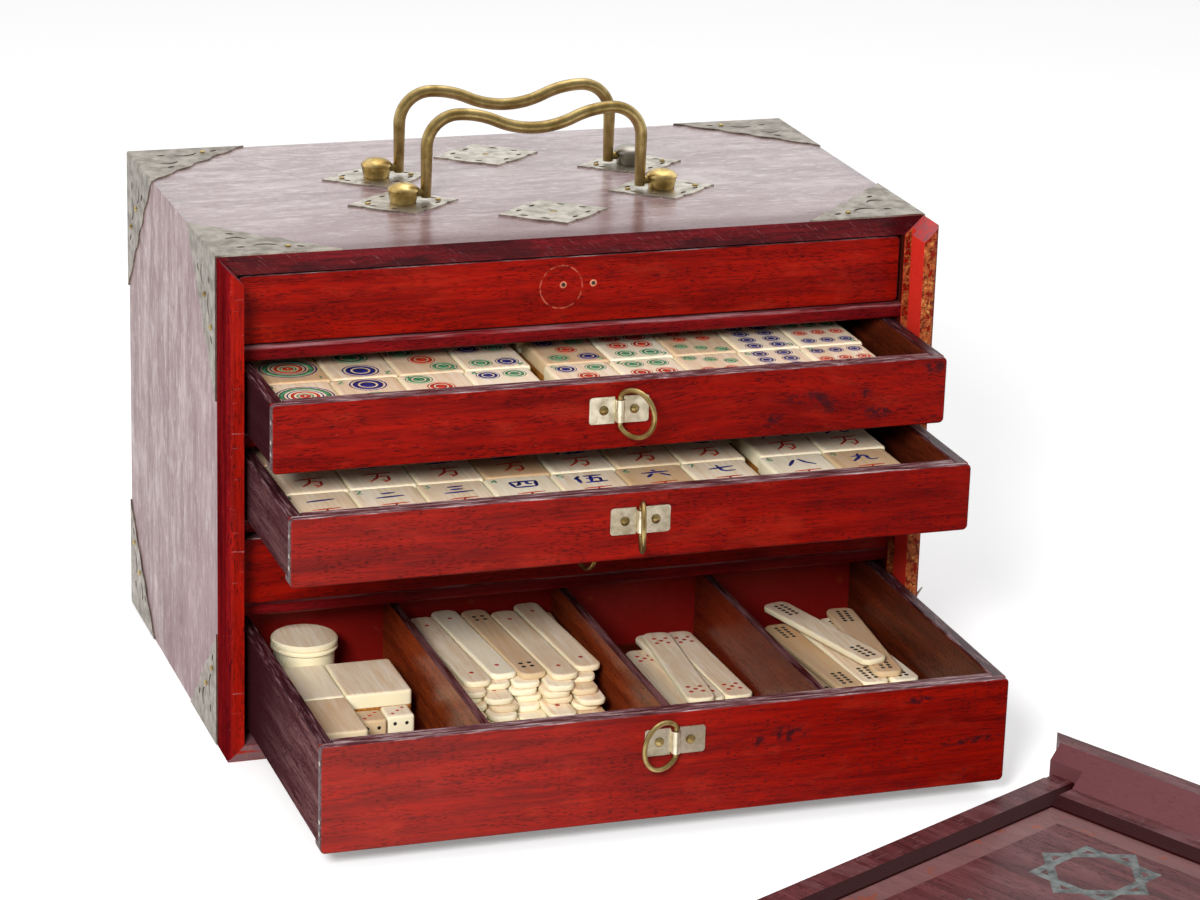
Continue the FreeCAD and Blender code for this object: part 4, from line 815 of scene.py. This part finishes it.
# Layout of the circles on a face, from its middle: (x, y, radius, colour)
DOTS = {
    1: [],
    2: [(0, 7.2, 6.0, "navy"), (0, -7.2, 6.0, "green")],
    3: [(-5.2, 8.8, 4.5, "green"), (0, 0, 4.5, "red"), (5.2, -8.8, 4.5, "green")],
    4: [(x, y, 3.9, c) for x, y, c in ((-4.6, 8, "navy"), (4.6, 8, "green"),
                                       (-4.6, -8, "green"), (4.6, -8, "navy"))],
    5: [(x, y, 3.6, c) for x, y, c in ((-5.2, 8.6, "navy"), (5.2, 8.6, "green"), (0, 0, "red"),
                                       (-5.2, -8.6, "green"), (5.2, -8.6, "navy"))],
    6: [(x, 8.8, 3.6, "green") for x in (-4.4, 4.4)] + [(x, y, 3.6, "red") for y in (-0.4, -8.6)
                                                        for x in (-4.4, 4.4)],
    7: [(x, y, 2.5, "green") for x, y in ((-6.4, 11), (0, 8.2), (6.4, 5.4))]
       + [(x, y, 2.7, "red") for y in (-2.4, -9.4) for x in (-4.2, 4.2)],
    8: [(x, y, 3.0, "navy") for y in (10.2, 3.4, -3.4, -10.2) for x in (-4.4, 4.4)],
    9: [(x, y, 2.7, c) for y, c in ((9, "navy"), (0, "red"), (-9, "green")) for x in (-6.8, 0, 6.8)],
}
# Rings of the one large circle: (radius, half width, colour)
GREAT_DOT = ((9.5, 0.3, "navy"), (7.8, 0.9, "green"), (5.9, 0.25, "navy"), (4.3, 0.55, "red"),
             (2.6, 0.3, "green"), (1.2, 0.7, "red"))
# Strokes of the numerals, from the middle of the upper half of a face, in millimetres
NUMERALS = {
    1: [[(-4.8, -0.5), (-2, -0.1), (4.8, 0.7)]],
    2: [[(-2.4, 1.7), (2.4, 2.2)], [(-4.8, -2.0), (4.8, -1.1)]],
    3: [[(-2.6, 2.8), (2.8, 3.2)], [(-2.3, 0.2), (2.2, 0.6)], [(-4.9, -2.7), (5, -2.0)]],
    4: [[(-4.4, 2.6), (4.6, 2.8)], [(-4.4, 2.6), (-3.6, -2.6)], [(4.6, 2.8), (3.7, -2.4)],
        [(-3.6, -2.6), (3.7, -2.4)], [(-1.2, 2.6), (-1.4, 0.4), (-2.8, -1.0)],
        [(1.2, 2.6), (1.3, 0.2), (2.8, 0.0)]],
    5: [[(-3.2, 3.4), (-5.2, 0.4)], [(-4.2, 1.8), (-4.2, -3.4)], [(-1.8, 3.0), (4.6, 3.2)],
        [(0.8, 3.0), (-0.4, -2.8)], [(-1.4, 0.6), (3.4, 0.8), (3.0, -2.8)], [(-2.6, -3.1), (5.2, -2.7)]],
    6: [[(-0.6, 3.8), (0.5, 2.6)], [(-4.8, 1.2), (4.8, 1.7)], [(-1.4, 0.2), (-3.9, -3.0)],
        [(1.4, 0.2), (4.2, -2.8)]],
    7: [[(-4.4, 0.0), (4.8, 1.7)], [(-0.7, 3.6), (-0.3, -1.6), (1.0, -2.8), (4.4, -2.3)]],
    8: [[(-1.2, 2.4), (-4.6, -3.0)], [(0.4, 3.0), (2.2, -0.6), (5.0, -3.0)]],
    9: [[(-3.8, 1.3), (1.8, 1.8), (1.4, -1.4), (2.4, -3.0), (4.8, -2.1)],
        [(-0.6, 3.8), (-1.2, 0.0), (-4.4, -3.4)]],
}
LOWER_MARK = [[(-4.8, -2.6), (4.8, -1.9)], [(0.2, -2.4), (-0.6, -6.0), (-3.8, -9.6)],
              [(-0.6, -5.4), (3.0, -5.2), (2.8, -9.0), (0.6, -10.8)], [(0.2, -8.6), (1.8, -9.4)]]
# Strokes of the small index figures, two wide and three high
FIGURES = {
    1: [[(0, -1.5), (0, 1.5)]],
    2: [[(-1, 0.9), (0, 1.5), (1, 0.8), (-1, -1.5)], [(-1, -1.5), (1, -1.5)]],
    3: [[(-1, 1.3), (0.8, 1.2), (0, 0.2), (1, -0.6), (0, -1.5), (-1, -1.2)]],
    4: [[(0.5, -1.5), (0.5, 1.5), (-1, -0.5), (1.1, -0.5)]],
    5: [[(1, 1.5), (-0.8, 1.5), (-0.9, 0.2), (0.6, 0.2), (0.9, -0.8), (0, -1.5), (-1, -1.2)]],
    6: [[(0.8, 1.5), (-0.6, 0.4), (-0.9, -0.7), (0, -1.5), (0.9, -0.7), (0, 0.1), (-0.8, -0.4)]],
    7: [[(-1, 1.4), (1, 1.4), (-0.2, -1.5)]],
    8: [[(0, 0.1), (0.9, 0.8), (0, 1.5), (-0.9, 0.8), (0, 0.1), (1, -0.8), (0, -1.5), (-1, -0.8), (0, 0.1)]],
    9: [[(0.9, 0.5), (0, 0), (-0.9, 0.7), (0, 1.5), (0.9, 0.8), (0.5, -1.5)]],
}
INDEX = (-8.4, 11.2)


def on_tile(place, turn, x, y):
    """Point of a face, from the middle of the tile, which may lie turned round."""
    return (place[0] + turn * x, place[1] + turn * y, place[2] + TILE[2])


rings = {"navy": [], "green": [], "red": []}
index_strokes = []
for row in range(TILE_ROWS):
    turn = -1 if row == 1 else 1
    for column in range(TILE_COLUMNS):
        place = dot_places[row, column]
        for x, y, radius, colour in DOTS[column + 1]:
            for share, width in ((1.0, 0.045), (0.7, 0.14), (0.22, 0.22)):
                rings[colour].append((on_tile(place, turn, x, y), radius * share, radius * width))
        for radius, half_width, colour in GREAT_DOT if column == 0 else ():
            rings[colour].append((on_tile(place, turn, 0, 0), radius, half_width))
        for path in FIGURES[column + 1]:
            points = [on_tile(place, turn, INDEX[0] + x, INDEX[1] + y) for x, y in path]
            index_strokes.append(([p[:2] for p in points], points[0][2], 0.75))
for colour, finish in (("navy", navy), ("green", green), ("red", red)):
    places, radii, widths = zip(*rings[colour])
    round_marks("dot_marks_" + colour, places, radii, widths, finish, "drawer_2", "bone")

numeral_strokes, lower_strokes, small_strokes = [], [], []
for row in range(TILE_ROWS):
    for column in range(TILE_COLUMNS):
        place = character_places[row, column]
        for paths, out, dx, dy, width in ((NUMERALS[column + 1], numeral_strokes, 0.6, 6.6, 1.4),
                                          (LOWER_MARK, lower_strokes, 0.6, 0.6, 1.1),
                                          (FIGURES[column + 1], small_strokes, *INDEX, 0.75)):
            for path in paths:
                points = [on_tile(place, 1, dx + x, dy + y) for x, y in path]
                out.append(([p[:2] for p in points], points[0][2], width))
brush_marks("numeral_marks", numeral_strokes, navy, "drawer_3", "bone")
brush_marks("lower_marks", lower_strokes, red, "drawer_3", "bone")
brush_marks("character_index_marks", small_strokes, green, "drawer_3", "bone")
brush_marks("dot_index_marks", index_strokes, green, "drawer_2", "bone")

# ---- the lowest drawer --------------------------------------------------------------------
low, high = [[c / MM for c in corner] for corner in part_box("spare_tiles")]
spare = [(low[0] + TILE[0] / 2, low[1] + TILE[1] / 2, low[2]),
         (low[0] + TILE[0] / 2, low[1] + TILE[1] / 2 + TILE_STEP[1], low[2]),
         (high[0] - TILE[0] / 2, low[1] + TILE[1] / 2 + TILE_STEP[1], low[2])]
slabs("spare_tile_blocks", TILE, 1.4, 0.9, spare, [0, 0, 0], tile_finish, "drawer_5", "bone", ["spare_tiles"])

low, high = [[c / MM for c in corner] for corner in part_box("dice")]
dice = [(low[0] + DIE / 2, low[1] + DIE / 2, low[2]), (high[0] - DIE / 2, high[1] - DIE / 2, low[2])]
slabs("die_blocks", (DIE, DIE, DIE), 1.0, 0.9, dice, [0, 0], bone_finish, "drawer_5", "bone", ["dice"])
PIP = ((0, -0.05), (0.7, -0.05), (0.6, 0.04), (0, 0.06))
tops = [(x + dx, y + dy, z + DIE) for x, y, z in dice for dx, dy in ((-2.2, -2.2), (0, 0), (2.2, 2.2))]
fronts_of_dice = [(x + dx, y - DIE / 2, z + DIE / 2 + dz)
                  for x, y, z in dice for dx in (-2, 2) for dz in (-2, 2)]
revolved("die_pips_top", PIP, tops, (0, 0, 1), red, "drawer_5", "bone", 10)
revolved("die_pips_front", PIP, fronts_of_dice, (0, -1, 0), black, "drawer_5", "bone", 10)


def pile(wall, layers, size, floor, front):
    """Places and turns of the counters that lie in layers to the right of a divider."""
    places, turns = [], []
    for level, (margin, count, y, turn) in enumerate(layers):
        lean = size[1] * np.sin(np.radians(turn))
        for index in range(count):
            x = wall + margin + size[0] / 2 + max(lean, 0) + index * (size[0] + COUNTER_GAP)
            start = front + FRONT + y + COUNTER_STEP * (index % 3)
            half = size[1] / 2
            places.append((x - half * np.sin(np.radians(turn)), start + half * np.cos(np.radians(turn)),
                           floor + level * size[2]))
            turns.append(turn)
    uneven = np.stack([wobble(len(places), 3, 0.25), wobble(len(places), 5, 3.6), np.zeros(len(places))], -1)
    return np.array(places) + uneven, np.array(turns) + wobble(len(places), 7, 0.7)


drawer_front_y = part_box("drawer_5_front")[0][1] / MM
drawer_floor_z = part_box("drawer_5_bottom")[1][2] / MM
spots_of_colour = {"red": [], "black": []}
for name, wall, layers, size, cluster in (
        ("middle_counters", COMPARTMENTS[0], MIDDLE_LAYERS, COUNTER, "few"),
        ("flat_counters", COMPARTMENTS[1], FLAT_LAYERS, WIDE_COUNTER, "five"),
        ("right_counters", COMPARTMENTS[2], RIGHT_LAYERS, WIDE_COUNTER, "ten")):
    places, turns = pile(wall, layers, size, drawer_floor_z, drawer_front_y)
    slabs(name + "_sticks", size, 3.2, 0.7, places, turns, bone_finish, "drawer_5", "bone", [name])
    for index, (place, turn) in enumerate(zip(places, turns)):
        if cluster == "few":
            colour = "red" if index % 3 else "black"
            dots = [(0, 0)] if index % 3 else [(-1.5, -1.5), (1.5, -1.5), (-1.5, 1.5), (1.5, 1.5)]
        elif cluster == "five":
            colour, dots = "red", [(0, 0), (-2.1, -2.1), (2.1, -2.1), (-2.1, 2.1), (2.1, 2.1)]
        else:
            colour, dots = "black", [(x, y) for x in (-1.3, 1.3) for y in (-4.4, -2.2, 0, 2.2, 4.4)]
        c, s = np.cos(np.radians(turn)), np.sin(np.radians(turn))
        for end in (-1, 1):
            for dx, dy in dots:
                y = end * (size[1] / 2 - 8.5) + dy
                spots_of_colour[colour].append((place[0] + c * dx - s * y, place[1] + s * dx + c * y,
                                                place[2] + size[2]))
SPOT = ((0, -0.04), (0.9, -0.04), (0.8, 0.03), (0, 0.05))
revolved("counter_spots_red", SPOT, spots_of_colour["red"], (0, 0, 1), red, "drawer_5", "bone", 8)
revolved("counter_spots_black", SPOT, spots_of_colour["black"], (0, 0, 1), black, "drawer_5", "bone", 8)

# ---- pins, studs and nails ------------------------------------------------------------------
KNOB = ((0, -0.2), (4.4, -0.2), (4.55, 0.4), (4.95, 2.2), (5.15, 3.7), (5.5, 4.0), (5.5, 4.5), (4.8, 5.4),
        (3.5, 6.2), (1.8, 6.7), (0, 6.85))
HEAD = ((0, -0.3), (1.0, -0.3), (1.05, 0.1), (0.8, 0.45), (0.4, 0.62), (0, 0.66))
STUD = ((0, -0.3), (1.4, -0.3), (1.4, 0.02), (1.1, 0.08), (0.5, 0.11), (0, 0.12))
PULL_STUD = ((0, -0.2), (1.5, -0.2), (1.6, 0.2), (1.2, 0.75), (0.6, 1.0), (0, 1.05))
NAIL = ((0, -0.3), (0.8, -0.3), (0.8, 0.05), (0.3, 0.12), (0, 0.12))
TOP_PIN = (25.4, 6.4)           # along the leg, away from it
SIDE_PINS = (TOP_PIN, (16.6, 15.2))
top_pins = [(sx * (HALF - a), (FACE + b) if sy < 0 else (BACK - b), HEIGHT + PLATE)
            for sx in (-1, 1) for sy in (-1, 1) for a, b in (TOP_PIN,)]
top_pins += [(x + dx, y, HEIGHT + PLATE) for x, y in POSTS for dx in (-12.5, 12.5)]
posts = revolved("handle_knobs", KNOB, [(x, y, HEIGHT + PLATE) for x, y in POSTS], (0, 0, 1),
                 post_brass, "case", "brass", 40)
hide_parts("handle_posts")
revolved("top_pins", HEAD, top_pins, (0, 0, 1), brass, "case", "brass")
revolved("centre_studs", STUD, [(x, y, HEIGHT + PLATE) for x, y in CENTRE_PLATES], (0, 0, 1),
         brass, "case", "brass")
for side, name in ((-1, "left"), (1, "right")):
    places = [(side * (HALF + PLATE), (FACE + b) if sy < 0 else (BACK - b), z)
              for sy in (-1, 1) for a, b in SIDE_PINS for z in (HEIGHT - a, 0.4 + a)]
    revolved("side_pins_" + name, HEAD, places, (side, 0, 0), brass, "case", "brass")
for number in range(1, 6):
    low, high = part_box("drawer_%d_front" % number)
    x0, y0, z0, z1 = [c / MM for c in (*low, high[2])]
    places = [(x0, y0 + 1.7, z) for z in (z0 + 6.5, z0 + 10.5, z1 - 6.0)]
    revolved("lap_nails_%d" % number, NAIL, places, (-1, 0, 0), nickel, "drawer_%d" % number, "nickel", 10)
for number in range(1, 6):
    low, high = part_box("drawer_%d_front" % number)
    y0, z1 = low[1] / MM, high[2] / MM
    places = [(dx, y0 - (PLATE if number > 1 else 0), z1 - PULL_DROP) for dx in PULL_PINS]
    if number > 1:
        revolved("pull_studs_%d" % number, PULL_STUD, places, (0, -1, 0), brass,
                 "drawer_%d" % number, "brass", 14)
    else:
        revolved("hole_rims", ((0, -0.05), (1.3, -0.05), (1.2, 0.03), (0, 0.04)), places, (0, -1, 0),
                 chipped, "drawer_1", "rosewood", 14)
        # painted shade: a black disc stands for the dark inside of each empty pin hole
        revolved("pin_holes_painted_shade", ((0, -0.05), (0.7, -0.05), (0.7, 0.06), (0, 0.06)), places, (0, -1, 0),
                 black, "drawer_1", "rosewood", 10)

# ---- floor, light and camera ----------------------------------------------------------------
FLOOR_REACH = 6                 # metres from the middle to each edge
floor_material, tree = blank("pale_floor")
rays = add(tree, "LightPath")
seen = add(tree, "Math", {
    0: rays["Is Camera Ray"],
    1: add(tree, "Math", {
        0: rays["Is Glossy Ray"], 1: rays["Is Transmission Ray"]}, operation="MAXIMUM")[0]},
    operation="MAXIMUM")[0]
lit = add(tree, "BsdfDiffuse", {"Color": "#f4f4f4"})
glow = add(tree, "Emission", {"Color": (1, 1, 1, 1), "Strength": add(tree, "Math", {0: seen, 1: 0.25})[0]})
add(tree, "OutputMaterial", {"Surface": add(tree, "AddShader", {0: lit[0], 1: glow[0]})[0]})
floor_mesh = bpy.data.meshes.new("floor")
corners = [(x * FLOOR_REACH, y * FLOOR_REACH, 0) for x, y in ((-1, -1), (1, -1), (1, 1), (-1, 1))]
floor_mesh.from_pydata(corners, [], [(0, 1, 2, 3)])
floor_mesh.materials.append(floor_material)
floor = bpy.data.objects.new("floor", floor_mesh)
bpy.context.scene.collection.objects.link(floor)

world = bpy.data.worlds.new("studio")
bpy.context.scene.world = world
world.use_nodes = True
tree = world.node_tree
tree.nodes.clear()
rays = add(tree, "LightPath")
seen = add(tree, "Math", {0: rays["Is Camera Ray"], 1: rays["Is Transmission Ray"]}, operation="MAXIMUM")[0]
toward = add(tree, "SeparateXYZ", {0: add(tree, "TexCoord")["Generated"]})
glossy = add(tree, "MapRange", {
    0: toward[1], 1: -0.7, 2: 0.3, 3: 0.3, 4: 1.25}, interpolation_type="LINEAR")[0]
lit = add(tree, "Mix", {0: rays["Is Glossy Ray"], 2: 0.55, 3: glossy}, data_type="FLOAT")[0]
strength = add(tree, "Mix", {0: seen, 2: lit, 3: 0.965}, data_type="FLOAT")[0]
add(tree, "OutputWorld", {0: add(tree, "Background", {0: (1, 1, 1, 1), 1: strength})[0]})


def lamp(name, place, target, size, watts, mirrored=True):
    """Round soft lamp that faces its target. One that isn't mirrored leaves no hot patch on waxed wood."""
    data = bpy.data.lights.new(name, "AREA")
    data.shape, data.size, data.energy = "DISK", size, watts
    obj = bpy.data.objects.new(name, data)
    obj.visible_glossy = mirrored
    back = (np.array(place) - np.array(target)) / np.linalg.norm(np.array(place) - np.array(target))
    side = np.cross([0, 0, 1], back)
    side /= np.linalg.norm(side)
    turn = Matrix(np.stack([side, np.cross(back, side), back], 1).tolist()).to_4x4()
    obj.matrix_world = Matrix.Translation(place) @ turn
    bpy.context.scene.collection.objects.link(obj)


lamp("key_lamp", (-0.7, -1.2, 0.8), (0.0, -0.1, 0.08), 0.4, 23, mirrored=False)
lamp("top_lamp", (0.3, 0.4, 1.6), (0, 0, 0.1), 1.2, 6)

# Where the camera stands, its turns in radians and its focal length in pixels
PLACE = np.array((-389.404, -1226.012, 509.128)) * MM
YAW, PITCH, ROLL, FOCAL = -0.33, 0.32479, 0.03068, 3809.6
PIXELS_ACROSS, SENSOR = 1200, 36.0
ahead = np.array((np.sin(-YAW) * np.cos(PITCH), np.cos(YAW) * np.cos(PITCH), -np.sin(PITCH)))
level = np.cross(ahead, (0, 0, 1))
level /= np.linalg.norm(level)
upright = np.cross(level, ahead)
right = np.cos(ROLL) * level + np.sin(ROLL) * upright
up = np.cos(ROLL) * upright - np.sin(ROLL) * level
camera = bpy.data.cameras.new("camera")
camera.sensor_width = SENSOR
camera.lens = FOCAL / PIXELS_ACROSS * SENSOR
camera.clip_start, camera.clip_end = 0.05, 20
camera_object = bpy.data.objects.new("camera", camera)
turn = Matrix(np.stack([right, up, -ahead], 1).tolist()).to_4x4()
camera_object.matrix_world = Matrix.Translation(PLACE.tolist()) @ turn
bpy.context.scene.collection.objects.link(camera_object)
bpy.context.scene.camera = camera_object
bpy.context.scene.view_settings.view_transform = "Standard"
